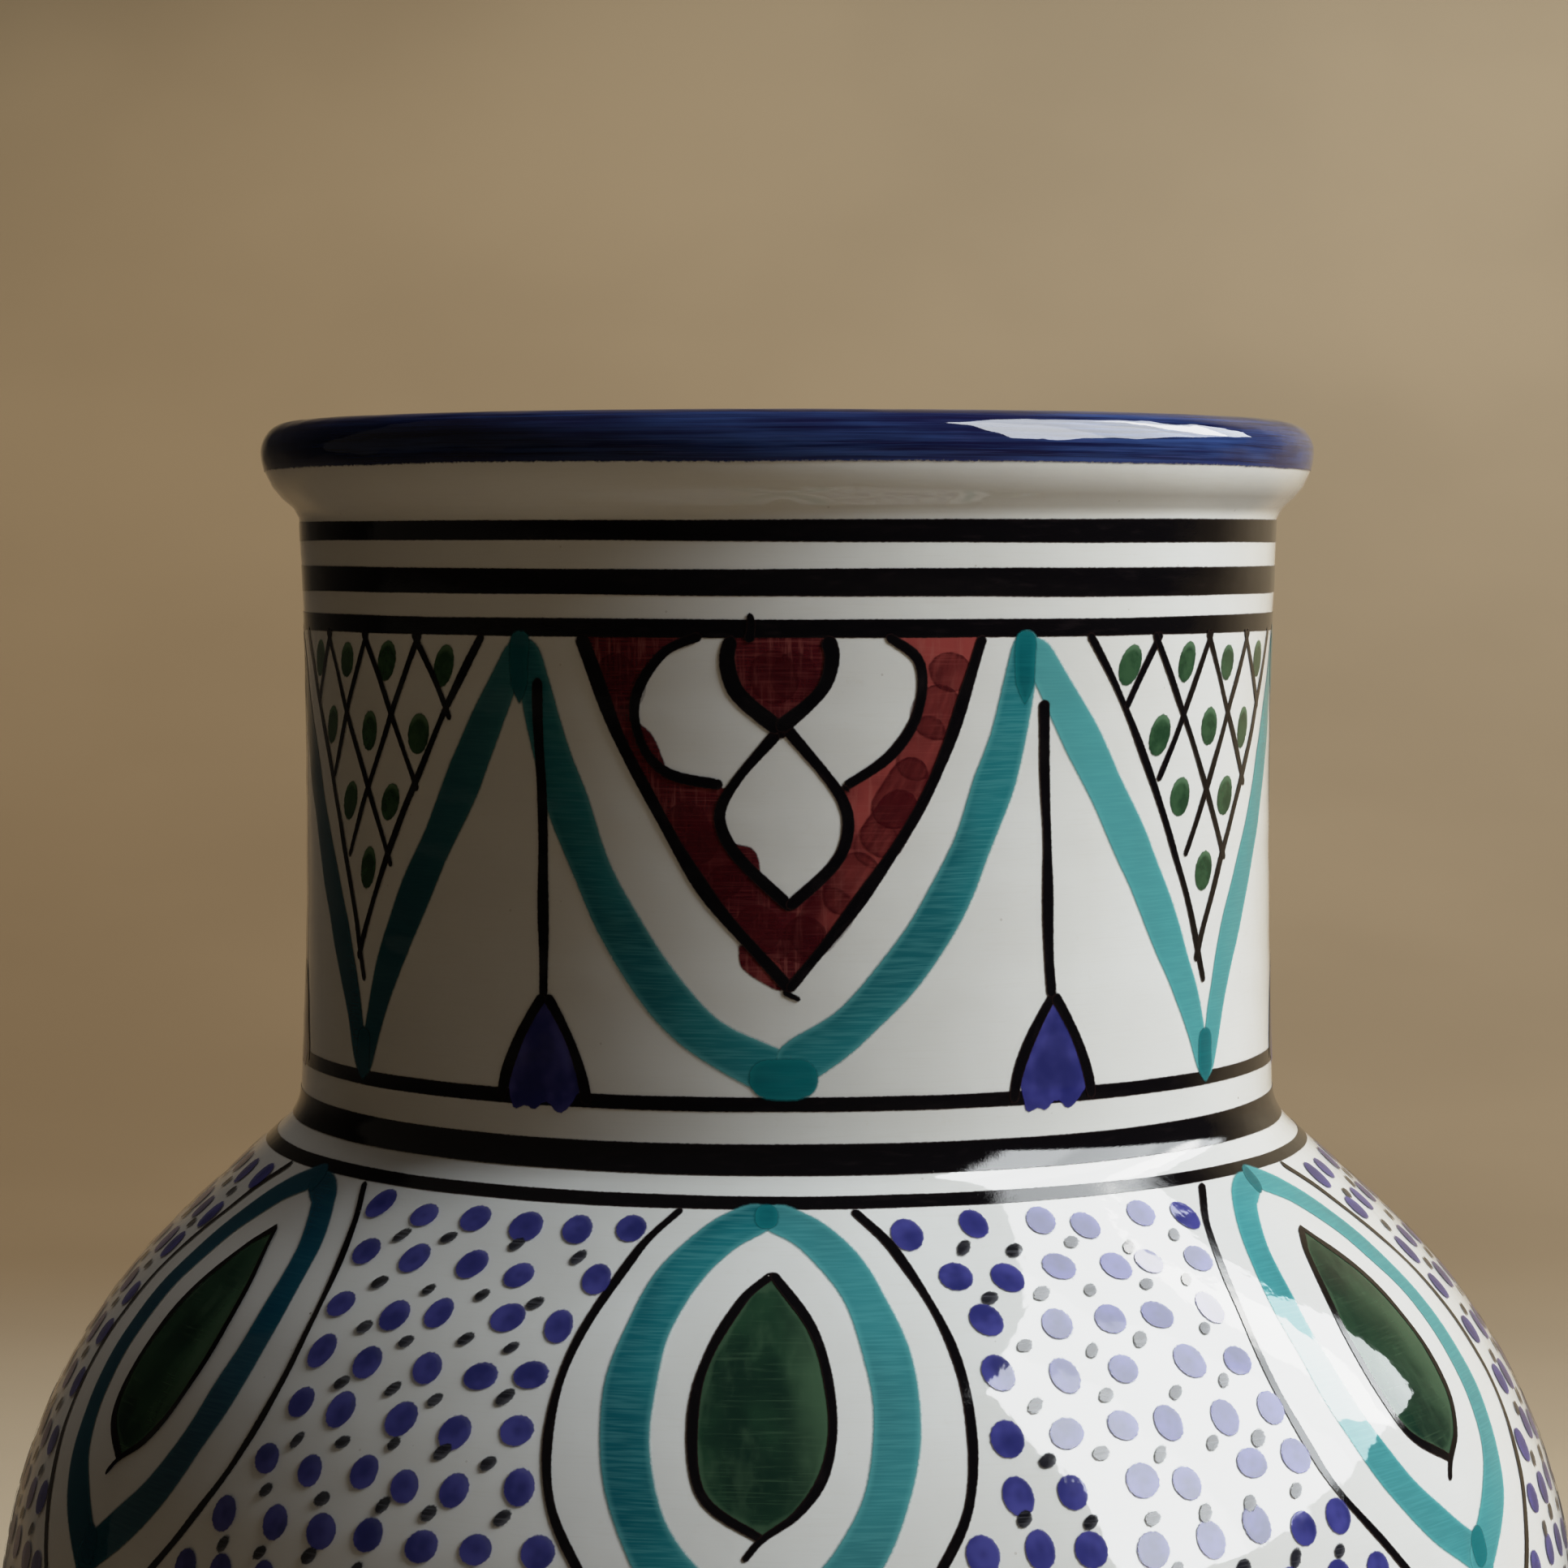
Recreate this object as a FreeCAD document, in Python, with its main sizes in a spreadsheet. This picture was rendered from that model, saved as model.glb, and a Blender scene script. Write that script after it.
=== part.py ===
"""A hand-thrown, glazed and painted earthenware vase: wide collar neck on a round belly, 240 mm tall.

The clay is thrown in sections that are luted together with slip: foot ring, bowl, shoulder, neck and rolled
rim. Each joint is a lapped step, so that the upper section sits on the lower one, with a thin ring of slip
between them. A white glaze covers the outside down to the foot ring and the whole inside, and a cobalt glaze
wraps the lip. Wheel-painted stripes lie on the glaze as thin rings. Millimetres, +Z up, origin in the middle
of the resting face.

Every profile is a half section in the XZ plane, turned once round the Z axis. A surface of the wall is named
by its depth under the finished outside: 0 is the glazed outside, CLAY_OUT the clay's outside, CLAY_IN its
inside and GLAZED_IN the glazed inside.
"""

import math
import os

import FreeCAD
import Part
import Sketcher

LABELS_AND_SIZES = [
    ("height", 240.0, "lip to resting face"),
    ("rim_radius", 57.7, "widest part of the lip"),
    ("lip_round", 3.0, "rounding of the lip's two upper edges"),
    ("lip_inner", 50.0, "inside of the lip"),
    ("under_arc", 7.53, "swelling under the lip"),
    ("rim_joint", 230.0, "height of the rim's lower edge"),
    ("flare_start", 231.4, "height where the mouth starts to open out"),
    ("neck_radius", 53.7, "neck at its top and its base"),
    ("neck_waist", 0.75, "how far the neck draws in halfway up"),
    ("neck_fillet", 5.5, "hollow curve where neck meets shoulder"),
    ("shoulder_slope", 47.7, "degrees from level, normal of the shoulder's straight flank"),
    ("shoulder_arc", 62.4, "section radius above the belly's widest line"),
    ("belly_radius", 87.1, "widest part of the belly"),
    ("belly_height", 107.0, "height of the belly's widest line"),
    ("lower_arc", 154.0, "section radius below the belly's widest line"),
    ("foot_height", 8.0, "height of the foot ring"),
    ("foot_radius", 52.6, "widest part of the foot ring"),
    ("foot_inner", 43.5, "inside of the foot ring"),
    ("foot_round", 1.6, "rounding of the foot ring's resting edges"),
    ("foot_hollow", 9.0, "section radius of the foot ring's outside"),
    ("wall", 5.6, "thickness of the clay wall"),
    ("floor_clay", 6.0, "thickness of the clay floor"),
    ("floor_fillet", 9.0, "inside corner between wall and floor"),
    ("glaze", 0.5, "thickness of every glaze coat"),
    ("slip", 0.4, "thickness of the luting slip"),
    ("lap", 4.0, "height of the lapped steps"),
    ("tongue", 2.0, "height of the foot ring's tongue"),
    ("tongue_inset", 1.5, "from the foot ring's inside to its tongue"),
    ("tongue_width", 3.5, "thickness of the foot ring's tongue"),
    ("paint", 0.12, "thickness of the painted stripes"),
    ("rim_blue_edge", 234.7, "lower edge of the cobalt on the lip"),
    ("collar_a_top", 229.3, "first collar stripe"),
    ("collar_a_low", 227.0, ""),
    ("collar_b_top", 224.5, "second collar stripe"),
    ("collar_b_low", 221.6, ""),
    ("collar_c_top", 219.5, "third collar stripe"),
    ("collar_c_low", 217.4, ""),
    ("base_line_top", 172.1, "thin stripe round the base of the neck"),
    ("base_line_low", 170.4, ""),
    ("corner_band_angle", 34.0, "degrees of the hollow curve that the wide stripe covers"),
    ("shoulder_line_top", 162.6, "thin stripe round the shoulder"),
    ("shoulder_line_low", 161.4, ""),
    ("belly_upper_top", 104.0, "thin stripe under the shoulder's pattern"),
    ("belly_upper_low", 102.7, ""),
    ("belly_band_top", 100.4, "wide stripe under the widest line"),
    ("belly_band_low", 97.4, ""),
    ("belly_lower_top", 95.2, "thin stripe over the lower pattern"),
    ("belly_lower_low", 93.9, ""),
    ("hem_line_top", 26.4, "thin stripe under the lower pattern"),
    ("hem_line_low", 24.8, ""),
    ("foot_blue_top", 16.5, "upper edge of the cobalt over the foot"),
]

doc = FreeCAD.newDocument("vase")
dims = doc.addObject("Spreadsheet::Sheet", "dims")
for row, (alias, size, meaning) in enumerate(LABELS_AND_SIZES, start=1):
    dims.set(f"A{row}", alias)
    dims.set(f"B{row}", str(size))
    dims.set(f"C{row}", meaning)
    dims.setAlias(f"B{row}", alias)
doc.recompute()


# Expressions. Each function returns the text of a radius and a height, bound to the sheet's cells.

BELLY_CENTRE = "(dims.belly_radius - dims.shoulder_arc)"
LOWER_CENTRE = "(dims.belly_radius - dims.lower_arc)"
UNDER_CENTRE = "(dims.rim_radius - dims.under_arc)"
LIP_LEVEL = "(dims.height - dims.lip_round)"
FLOOR_TOP = "(dims.foot_height + dims.floor_clay)"
CLAY_OUT = "dims.glaze"
CLAY_IN = "(dims.glaze + dims.wall)"
GLAZED_IN = "(2 * dims.glaze + dims.wall)"
COS_SLOPE = "cos(dims.shoulder_slope)"
SIN_SLOPE = "sin(dims.shoulder_slope)"
FILLET_RADIUS = "(dims.neck_radius + dims.neck_fillet)"
NECK_BASE = (
    f"(dims.belly_height + dims.shoulder_arc * {SIN_SLOPE}"
    f" + ({BELLY_CENTRE} + dims.shoulder_arc * {COS_SLOPE} - dims.neck_radius) / tan(dims.shoulder_slope)"
    " + dims.neck_fillet * tan(dims.shoulder_slope / 2))"
)
BELLY_MID = "(dims.belly_radius - dims.glaze - dims.wall / 2)"
NECK_MID = "(dims.neck_radius - dims.glaze - dims.wall / 2)"


def on_upper_arc(depth, height):
    """The belly's section above its widest line, at a height."""
    reach = f"(dims.shoulder_arc - {depth})"
    return f"{BELLY_CENTRE} + sqrt({reach}^2 - ({height} - dims.belly_height)^2)", height


def on_lower_arc(depth, height):
    """The belly's section below its widest line, at a height."""
    reach = f"(dims.lower_arc - {depth})"
    return f"{LOWER_CENTRE} + sqrt({reach}^2 - (dims.belly_height - {height})^2)", height


def widest(depth):
    return f"dims.belly_radius - {depth}", "dims.belly_height"


def flank_low(depth):
    """Where the belly's curve runs into the shoulder's straight flank."""
    reach = f"(dims.shoulder_arc - {depth})"
    return f"{BELLY_CENTRE} + {reach} * {COS_SLOPE}", f"dims.belly_height + {reach} * {SIN_SLOPE}"


def on_fillet(depth, angle):
    """The hollow curve between shoulder and neck, at an angle below level."""
    reach = f"(dims.neck_fillet + {depth})"
    return f"{FILLET_RADIUS} - {reach} * cos({angle})", f"{NECK_BASE} - {reach} * sin({angle})"


def flank_high(depth):
    return on_fillet(depth, "dims.shoulder_slope")


def on_flank(depth, height):
    """The shoulder's straight flank at a height."""
    low = flank_low(depth)
    return f"{low[0]} - ({height} - ({low[1]})) * tan(dims.shoulder_slope)", height


def neck_foot(depth):
    return f"dims.neck_radius - {depth}", NECK_BASE


def crease(depth):
    """Where the swelling of the rim meets the neck."""
    reach = f"(dims.under_arc - {depth})"
    return (
        f"dims.neck_radius - {depth}",
        f"{LIP_LEVEL} - sqrt({reach}^2 - (dims.neck_radius - {depth} - {UNDER_CENTRE})^2)",
    )


def waist_radius(low, high):
    """Section radius of a neck that draws in by neck_waist between two heights."""
    return f"((({high} - ({low})) / 2)^2 + dims.neck_waist^2) / (2 * dims.neck_waist)"


def on_neck(height):
    """The glazed neck at a height."""
    low, high = NECK_BASE, crease("0")[1]
    radius = waist_radius(low, high)
    middle = f"(({low} + {high}) / 2)"
    return (
        f"dims.neck_radius - dims.neck_waist + {radius} - sqrt(({radius})^2 - ({height} - {middle})^2)",
        height,
    )


def on_under_arc(depth, height):
    """The swelling under the lip, at a height."""
    return f"{UNDER_CENTRE} + sqrt((dims.under_arc - {depth})^2 - ({LIP_LEVEL} - {height})^2)", height


def floor_corner(depth):
    """The inside corner between wall and floor: its end on the wall and its end on the floor."""
    extra = f"({depth} - {CLAY_IN})"
    reach = f"(dims.lower_arc - {CLAY_IN} - dims.floor_fillet)"
    level = f"({FLOOR_TOP} + dims.floor_fillet)"
    radius = f"({LOWER_CENTRE} + sqrt({reach}^2 - (dims.belly_height - {level})^2))"
    share = f"((dims.lower_arc - {depth}) / {reach})"
    on_wall = (
        f"{LOWER_CENTRE} + {share} * ({radius} - {LOWER_CENTRE})",
        f"dims.belly_height - {share} * (dims.belly_height - {level})",
    )
    return on_wall, (radius, f"{FLOOR_TOP} + {extra}")


FLARE_RADIUS = (
    f"(({LIP_LEVEL} - dims.flare_start)^2 + (dims.lip_inner - dims.neck_radius + {GLAZED_IN})^2)"
    f" / (2 * (dims.lip_inner - dims.neck_radius + {GLAZED_IN}))"
)


# Sections. A section is a list of corners; each corner holds the edge that leaves it, a line or an arc.

HOLLOW, SWELL = 1, -1


def line(corner):
    return (*corner, None, 0)


def arc(corner, radius, turn):
    """An arc that leaves a corner. Its centre is on the left of the way for HOLLOW, else on the right."""
    return (*corner, radius, turn)


def arc_through(start, end, radius, turn):
    """The sketch arc between two points, which Sketcher always draws anticlockwise."""
    half = (end - start) * 0.5
    rise = math.sqrt(max(radius**2 - half.Length**2, 0.0))
    left = FreeCAD.Vector(-half.y, half.x, 0).normalize()
    centre = start + half + left * rise * turn
    first, last = (start, end) if turn == HOLLOW else (end, start)
    angles = [math.atan2(p.y - centre.y, p.x - centre.x) for p in (first, last)]
    circle = Part.Circle(centre, FreeCAD.Vector(0, 0, 1), radius)
    return Part.ArcOfCircle(circle, angles[0], angles[1])


def draw(sketch, corners):
    """Draws a closed section and binds every corner and every radius to the sheet."""

    def number(text):
        return float(sketch.evalExpression(text))

    points = [FreeCAD.Vector(number(c[0]), number(c[1]), 0) for c in corners]
    starts, ends = [], []
    for i, (_, _, radius, turn) in enumerate(corners):
        start, end = points[i], points[(i + 1) % len(points)]
        if radius is None:
            geometry = sketch.addGeometry(Part.LineSegment(start, end), False)
            starts.append((geometry, 1))
            ends.append((geometry, 2))
            continue
        geometry = sketch.addGeometry(arc_through(start, end, number(radius), turn), False)
        starts.append((geometry, 1 if turn == HOLLOW else 2))
        ends.append((geometry, 2 if turn == HOLLOW else 1))
        index = sketch.addConstraint(Sketcher.Constraint("Radius", geometry, number(radius)))
        sketch.setExpression(f"Constraints[{index}]", radius)
    for i, (radius_text, height_text, _, _) in enumerate(corners):
        sketch.addConstraint(Sketcher.Constraint("Coincident", *ends[i - 1], *starts[i]))
        place(sketch, "DistanceX", starts[i], radius_text, points[i].x, -2)
        place(sketch, "DistanceY", starts[i], height_text, points[i].y, -1)


def place(sketch, kind, vertex, text, size, axis):
    """Holds a corner at its distance from the origin, or on the axis when that distance is nothing."""
    if abs(size) < 1e-9:
        sketch.addConstraint(Sketcher.Constraint("PointOnObject", *vertex, axis))
        return
    index = sketch.addConstraint(Sketcher.Constraint(kind, -1, 1, *vertex, size))
    sketch.setExpression(f"Constraints[{index}]", text)


def turned(label, corners):
    """One sub-part: a body whose section is turned once round the Z axis."""
    body = doc.addObject("PartDesign::Body", label)
    body.Label = label
    sketch = body.newObject("Sketcher::SketchObject", f"{label}_section")
    plane = next(o for o in body.Origin.OriginFeatures if o.Role == "XZ_Plane")
    sketch.AttachmentSupport = [(plane, "")]
    sketch.MapMode = "FlatFace"
    draw(sketch, corners)
    turn = body.newObject("PartDesign::Revolution", f"{label}_turned")
    turn.Profile = sketch
    turn.ReferenceAxis = (sketch, ["V_Axis"])
    turn.Angle = 360.0
    body.Tip = turn
    return body


# The clay sections.

TONGUE_IN = "(dims.foot_inner + dims.tongue_inset)"
TONGUE_OUT = f"({TONGUE_IN} + dims.tongue_width)"
FOOT_SEAT = "(dims.foot_height - dims.slip)"


def foot_ring():
    """The ring that the vase stands on, with a tongue that locates it under the floor."""
    shoulder = on_lower_arc(CLAY_OUT, "dims.foot_height")[0]
    return turned("foot_ring", [
        arc((shoulder, FOOT_SEAT), "dims.foot_hollow", HOLLOW),
        arc(("dims.foot_radius", "dims.foot_round"), "dims.foot_round", SWELL),
        line(("dims.foot_radius - dims.foot_round", "0")),
        arc(("dims.foot_inner + dims.foot_round", "0"), "dims.foot_round", SWELL),
        line(("dims.foot_inner", "dims.foot_round")),
        line(("dims.foot_inner", FOOT_SEAT)),
        line((TONGUE_IN, FOOT_SEAT)),
        line((TONGUE_IN, f"{FOOT_SEAT} + dims.tongue")),
        line((TONGUE_OUT, f"{FOOT_SEAT} + dims.tongue")),
        line((TONGUE_OUT, FOOT_SEAT)),
    ])


def lower_bowl():
    """The thrown bowl: floor, foot groove and wall up to the belly's widest line."""
    on_wall, on_floor = floor_corner(CLAY_IN)
    lap_top = "(dims.belly_height + dims.lap)"
    return turned("lower_bowl", [
        line(("0", "dims.foot_height")),
        line((f"{TONGUE_IN} - dims.slip", "dims.foot_height")),
        line((f"{TONGUE_IN} - dims.slip", "dims.foot_height + dims.tongue")),
        line((f"{TONGUE_OUT} + dims.slip", "dims.foot_height + dims.tongue")),
        line((f"{TONGUE_OUT} + dims.slip", "dims.foot_height")),
        arc(on_lower_arc(CLAY_OUT, "dims.foot_height"), f"dims.lower_arc - {CLAY_OUT}", HOLLOW),
        line(widest(CLAY_OUT)),
        line((BELLY_MID, "dims.belly_height")),
        line((BELLY_MID, lap_top)),
        arc(on_upper_arc(CLAY_IN, lap_top), f"dims.shoulder_arc - {CLAY_IN}", SWELL),
        arc(widest(CLAY_IN), f"dims.lower_arc - {CLAY_IN}", SWELL),
        arc(on_wall, "dims.floor_fillet", SWELL),
        line(on_floor),
        line(("0", FLOOR_TOP)),
    ])


def shoulder():
    """The upper half of the belly, from its widest line to the neck."""
    low_out, low_in = "(dims.belly_height + dims.slip)", "(dims.belly_height + dims.lap + dims.slip)"
    return turned("shoulder", [
        arc(on_upper_arc(CLAY_OUT, low_out), f"dims.shoulder_arc - {CLAY_OUT}", HOLLOW),
        line(flank_low(CLAY_OUT)),
        arc(flank_high(CLAY_OUT), f"dims.neck_fillet + {CLAY_OUT}", SWELL),
        line(neck_foot(CLAY_OUT)),
        line((NECK_MID, NECK_BASE)),
        line((NECK_MID, f"{NECK_BASE} + dims.lap")),
        line((f"dims.neck_radius - {CLAY_IN}", f"{NECK_BASE} + dims.lap")),
        arc(neck_foot(CLAY_IN), f"dims.neck_fillet + {CLAY_IN}", HOLLOW),
        line(flank_high(CLAY_IN)),
        arc(flank_low(CLAY_IN), f"dims.shoulder_arc - {CLAY_IN}", SWELL),
        line(on_upper_arc(CLAY_IN, low_in)),
        line((f"{BELLY_MID} + dims.slip", low_in)),
        line((f"{BELLY_MID} + dims.slip", low_out)),
    ])


def neck():
    """The collar: a cylinder that draws in slightly halfway up."""
    low = f"({NECK_BASE} + dims.slip)"
    step_low = f"({NECK_BASE} + dims.lap + dims.slip)"
    step_top = "(dims.rim_joint - dims.lap)"
    return turned("neck", [
        arc((f"dims.neck_radius - {CLAY_OUT}", low), waist_radius(low, "dims.rim_joint"), SWELL),
        line((f"dims.neck_radius - {CLAY_OUT}", "dims.rim_joint")),
        line((NECK_MID, "dims.rim_joint")),
        line((NECK_MID, step_top)),
        line((f"dims.neck_radius - {CLAY_IN}", step_top)),
        line((f"dims.neck_radius - {CLAY_IN}", step_low)),
        line((f"{NECK_MID} + dims.slip", step_low)),
        line((f"{NECK_MID} + dims.slip", low)),
    ])


def rim():
    """The rolled rim, with a skirt that sits inside the top of the neck."""
    low, step_low = "(dims.rim_joint + dims.slip)", "(dims.rim_joint - dims.lap + dims.slip)"
    clay_top, clay_round = f"dims.height - {CLAY_OUT}", f"dims.lip_round - {CLAY_OUT}"
    return turned("rim", [
        line((f"dims.neck_radius - {CLAY_OUT}", low)),
        arc(crease(CLAY_OUT), f"dims.under_arc - {CLAY_OUT}", HOLLOW),
        arc((f"dims.rim_radius - {CLAY_OUT}", LIP_LEVEL), clay_round, HOLLOW),
        line(("dims.rim_radius - dims.lip_round", clay_top)),
        arc(("dims.lip_inner + dims.lip_round", clay_top), clay_round, HOLLOW),
        arc(("dims.lip_inner + dims.glaze", LIP_LEVEL), FLARE_RADIUS, SWELL),
        line((f"dims.neck_radius - {CLAY_IN}", "dims.flare_start")),
        line((f"dims.neck_radius - {CLAY_IN}", step_low)),
        line((f"{NECK_MID} - dims.slip", step_low)),
        line((f"{NECK_MID} - dims.slip", low)),
    ])


# The luting slip: one thin stepped ring in each joint.


def foot_slip():
    edge = on_lower_arc(CLAY_OUT, "dims.foot_height")[0]
    top_seat, top = "dims.foot_height", "dims.foot_height + dims.tongue"
    return turned("foot_slip_seam", [
        line((TONGUE_OUT, FOOT_SEAT)),
        line((edge, FOOT_SEAT)),
        line((edge, top_seat)),
        line((f"{TONGUE_OUT} + dims.slip", top_seat)),
        line((f"{TONGUE_OUT} + dims.slip", top)),
        line((f"{TONGUE_IN} - dims.slip", top)),
        line((f"{TONGUE_IN} - dims.slip", top_seat)),
        line(("dims.foot_inner", top_seat)),
        line(("dims.foot_inner", FOOT_SEAT)),
        line((TONGUE_IN, FOOT_SEAT)),
        line((TONGUE_IN, f"{FOOT_SEAT} + dims.tongue")),
        line((TONGUE_OUT, f"{FOOT_SEAT} + dims.tongue")),
    ])


def step_slip(label, outside, inside, middle, riser, outer_arc=None, inner_arc=None):
    """A stepped ring of slip. outside and inside hold its (low, high) corners there, middle is the radius
    where it steps and riser the thickness of the upright part. The arcs are the radii of a curved wall."""
    return turned(label, [
        (*outside[0], outer_arc, HOLLOW),
        line(outside[1]),
        line((f"{middle} {riser}", outside[1][1])),
        line((f"{middle} {riser}", inside[1][1])),
        (*inside[1], inner_arc, SWELL),
        line(inside[0]),
        line((middle, inside[0][1])),
        line((middle, outside[0][1])),
    ])


def belly_slip():
    low, high = "dims.belly_height", "(dims.belly_height + dims.lap)"
    out_top, in_top = f"({low} + dims.slip)", f"({high} + dims.slip)"
    return step_slip(
        "belly_slip_seam",
        (widest(CLAY_OUT), on_upper_arc(CLAY_OUT, out_top)),
        (on_upper_arc(CLAY_IN, high), on_upper_arc(CLAY_IN, in_top)),
        BELLY_MID,
        "+ dims.slip",
        f"dims.shoulder_arc - {CLAY_OUT}",
        f"dims.shoulder_arc - {CLAY_IN}",
    )


def neck_slip():
    out, inside = f"dims.neck_radius - {CLAY_OUT}", f"dims.neck_radius - {CLAY_IN}"
    step = f"({NECK_BASE} + dims.lap)"
    return step_slip(
        "neck_slip_seam",
        ((out, NECK_BASE), (out, f"{NECK_BASE} + dims.slip")),
        ((inside, step), (inside, f"{step} + dims.slip")),
        NECK_MID,
        "+ dims.slip",
    )


def rim_slip():
    out, inside = f"dims.neck_radius - {CLAY_OUT}", f"dims.neck_radius - {CLAY_IN}"
    step = "(dims.rim_joint - dims.lap)"
    return step_slip(
        "rim_slip_seam",
        ((out, "dims.rim_joint"), (out, "dims.rim_joint + dims.slip")),
        ((inside, step), (inside, f"{step} + dims.slip")),
        NECK_MID,
        "- dims.slip",
    )


# The glaze coats.


def outer_glaze():
    """White glaze from the foot ring to the lower edge of the cobalt on the lip."""
    neck_low = f"({NECK_BASE} + dims.slip)"
    neck_back = waist_radius(neck_low, "dims.rim_joint")
    return turned("outer_glaze", [
        arc(on_lower_arc("0", "dims.foot_height"), "dims.lower_arc", HOLLOW),
        arc(widest("0"), "dims.shoulder_arc", HOLLOW),
        line(flank_low("0")),
        arc(flank_high("0"), "dims.neck_fillet", SWELL),
        arc(neck_foot("0"), waist_radius(NECK_BASE, crease("0")[1]), SWELL),
        arc(crease("0"), "dims.under_arc", HOLLOW),
        line(on_under_arc("0", "dims.rim_blue_edge")),
        arc(on_under_arc(CLAY_OUT, "dims.rim_blue_edge"), f"dims.under_arc - {CLAY_OUT}", SWELL),
        line(crease(CLAY_OUT)),
        arc((f"dims.neck_radius - {CLAY_OUT}", "dims.rim_joint"), neck_back, HOLLOW),
        line((f"dims.neck_radius - {CLAY_OUT}", neck_low)),
        arc(neck_foot(CLAY_OUT), f"dims.neck_fillet + {CLAY_OUT}", HOLLOW),
        line(flank_high(CLAY_OUT)),
        arc(flank_low(CLAY_OUT), f"dims.shoulder_arc - {CLAY_OUT}", SWELL),
        arc(widest(CLAY_OUT), f"dims.lower_arc - {CLAY_OUT}", SWELL),
        line(on_lower_arc(CLAY_OUT, "dims.foot_height")),
    ])


def rim_glaze():
    """Cobalt glaze over the lip, inside and outside."""
    lip_round, clay_round = "dims.lip_round", f"dims.lip_round - {CLAY_OUT}"
    return turned("rim_glaze", [
        arc(on_under_arc("0", "dims.rim_blue_edge"), "dims.under_arc", HOLLOW),
        arc(("dims.rim_radius", LIP_LEVEL), lip_round, HOLLOW),
        line(("dims.rim_radius - dims.lip_round", "dims.height")),
        arc(("dims.lip_inner + dims.lip_round", "dims.height"), lip_round, HOLLOW),
        line(("dims.lip_inner", LIP_LEVEL)),
        arc(("dims.lip_inner + dims.glaze", LIP_LEVEL), clay_round, SWELL),
        line(("dims.lip_inner + dims.lip_round", f"dims.height - {CLAY_OUT}")),
        arc(("dims.rim_radius - dims.lip_round", f"dims.height - {CLAY_OUT}"), clay_round, SWELL),
        arc((f"dims.rim_radius - {CLAY_OUT}", LIP_LEVEL), f"dims.under_arc - {CLAY_OUT}", SWELL),
        line(on_under_arc(CLAY_OUT, "dims.rim_blue_edge")),
    ])


def inner_glaze():
    """White glaze over the whole inside, from the cobalt down to the floor."""
    clay_wall, clay_floor = floor_corner(CLAY_IN)
    glazed_wall, glazed_floor = floor_corner(GLAZED_IN)
    return turned("inner_glaze", [
        line(("0", FLOOR_TOP)),
        arc(clay_floor, "dims.floor_fillet", HOLLOW),
        arc(clay_wall, f"dims.lower_arc - {CLAY_IN}", HOLLOW),
        arc(widest(CLAY_IN), f"dims.shoulder_arc - {CLAY_IN}", HOLLOW),
        line(flank_low(CLAY_IN)),
        arc(flank_high(CLAY_IN), f"dims.neck_fillet + {CLAY_IN}", SWELL),
        line(neck_foot(CLAY_IN)),
        arc((f"dims.neck_radius - {CLAY_IN}", "dims.flare_start"), FLARE_RADIUS, SWELL),
        line(("dims.lip_inner + dims.glaze", LIP_LEVEL)),
        arc(("dims.lip_inner", LIP_LEVEL), FLARE_RADIUS, HOLLOW),
        line((f"dims.neck_radius - {GLAZED_IN}", "dims.flare_start")),
        arc(neck_foot(GLAZED_IN), f"dims.neck_fillet + {GLAZED_IN}", HOLLOW),
        line(flank_high(GLAZED_IN)),
        arc(flank_low(GLAZED_IN), f"dims.shoulder_arc - {GLAZED_IN}", SWELL),
        arc(widest(GLAZED_IN), f"dims.lower_arc - {GLAZED_IN}", SWELL),
        arc(glazed_wall, "dims.floor_fillet - dims.glaze", SWELL),
        line(glazed_floor),
        line(("0", f"{FLOOR_TOP} + dims.glaze")),
    ])


# The painted stripes: thin rings on the glaze.


def raised(corner):
    """The point of a stripe's face over a point of a steep wall."""
    return f"{corner[0]} + dims.paint", corner[1]


def stripe(label, low, high, low_face, high_face, inner=None, outer=None, turn=0):
    """A ring between two points of the glaze and the two points of its painted face."""
    return turned(label, [
        line(low),
        (*low_face, outer, turn),
        line(high_face),
        (*high, inner, -turn),
    ])


def neck_stripe(label, low, high):
    low_point, high_point = on_neck(f"dims.{low}"), on_neck(f"dims.{high}")
    return stripe(label, low_point, high_point, raised(low_point), raised(high_point))


def corner_band():
    """The wide stripe in the hollow curve between neck and shoulder."""
    angle = "dims.corner_band_angle"
    return stripe(
        "neck_corner_band",
        on_fillet("0", angle),
        neck_foot("0"),
        on_fillet("-dims.paint", angle),
        neck_foot("-dims.paint"),
        inner="dims.neck_fillet",
        outer="dims.neck_fillet - dims.paint",
        turn=SWELL,
    )


def shoulder_line():
    heights = "dims.shoulder_line_low", "dims.shoulder_line_top"
    (low, high), (low_face, high_face) = (
        [on_flank(depth, height) for height in heights] for depth in ("0", "-dims.paint")
    )
    return stripe("shoulder_line", low, high, low_face, high_face)


def belly_stripe(label, low, high):
    low, high = f"dims.{low}", f"dims.{high}"
    return stripe(
        label,
        on_lower_arc("0", low),
        on_lower_arc("0", high),
        on_lower_arc("-dims.paint", low),
        on_lower_arc("-dims.paint", high),
        inner="dims.lower_arc",
        outer="dims.lower_arc + dims.paint",
        turn=HOLLOW,
    )


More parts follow.
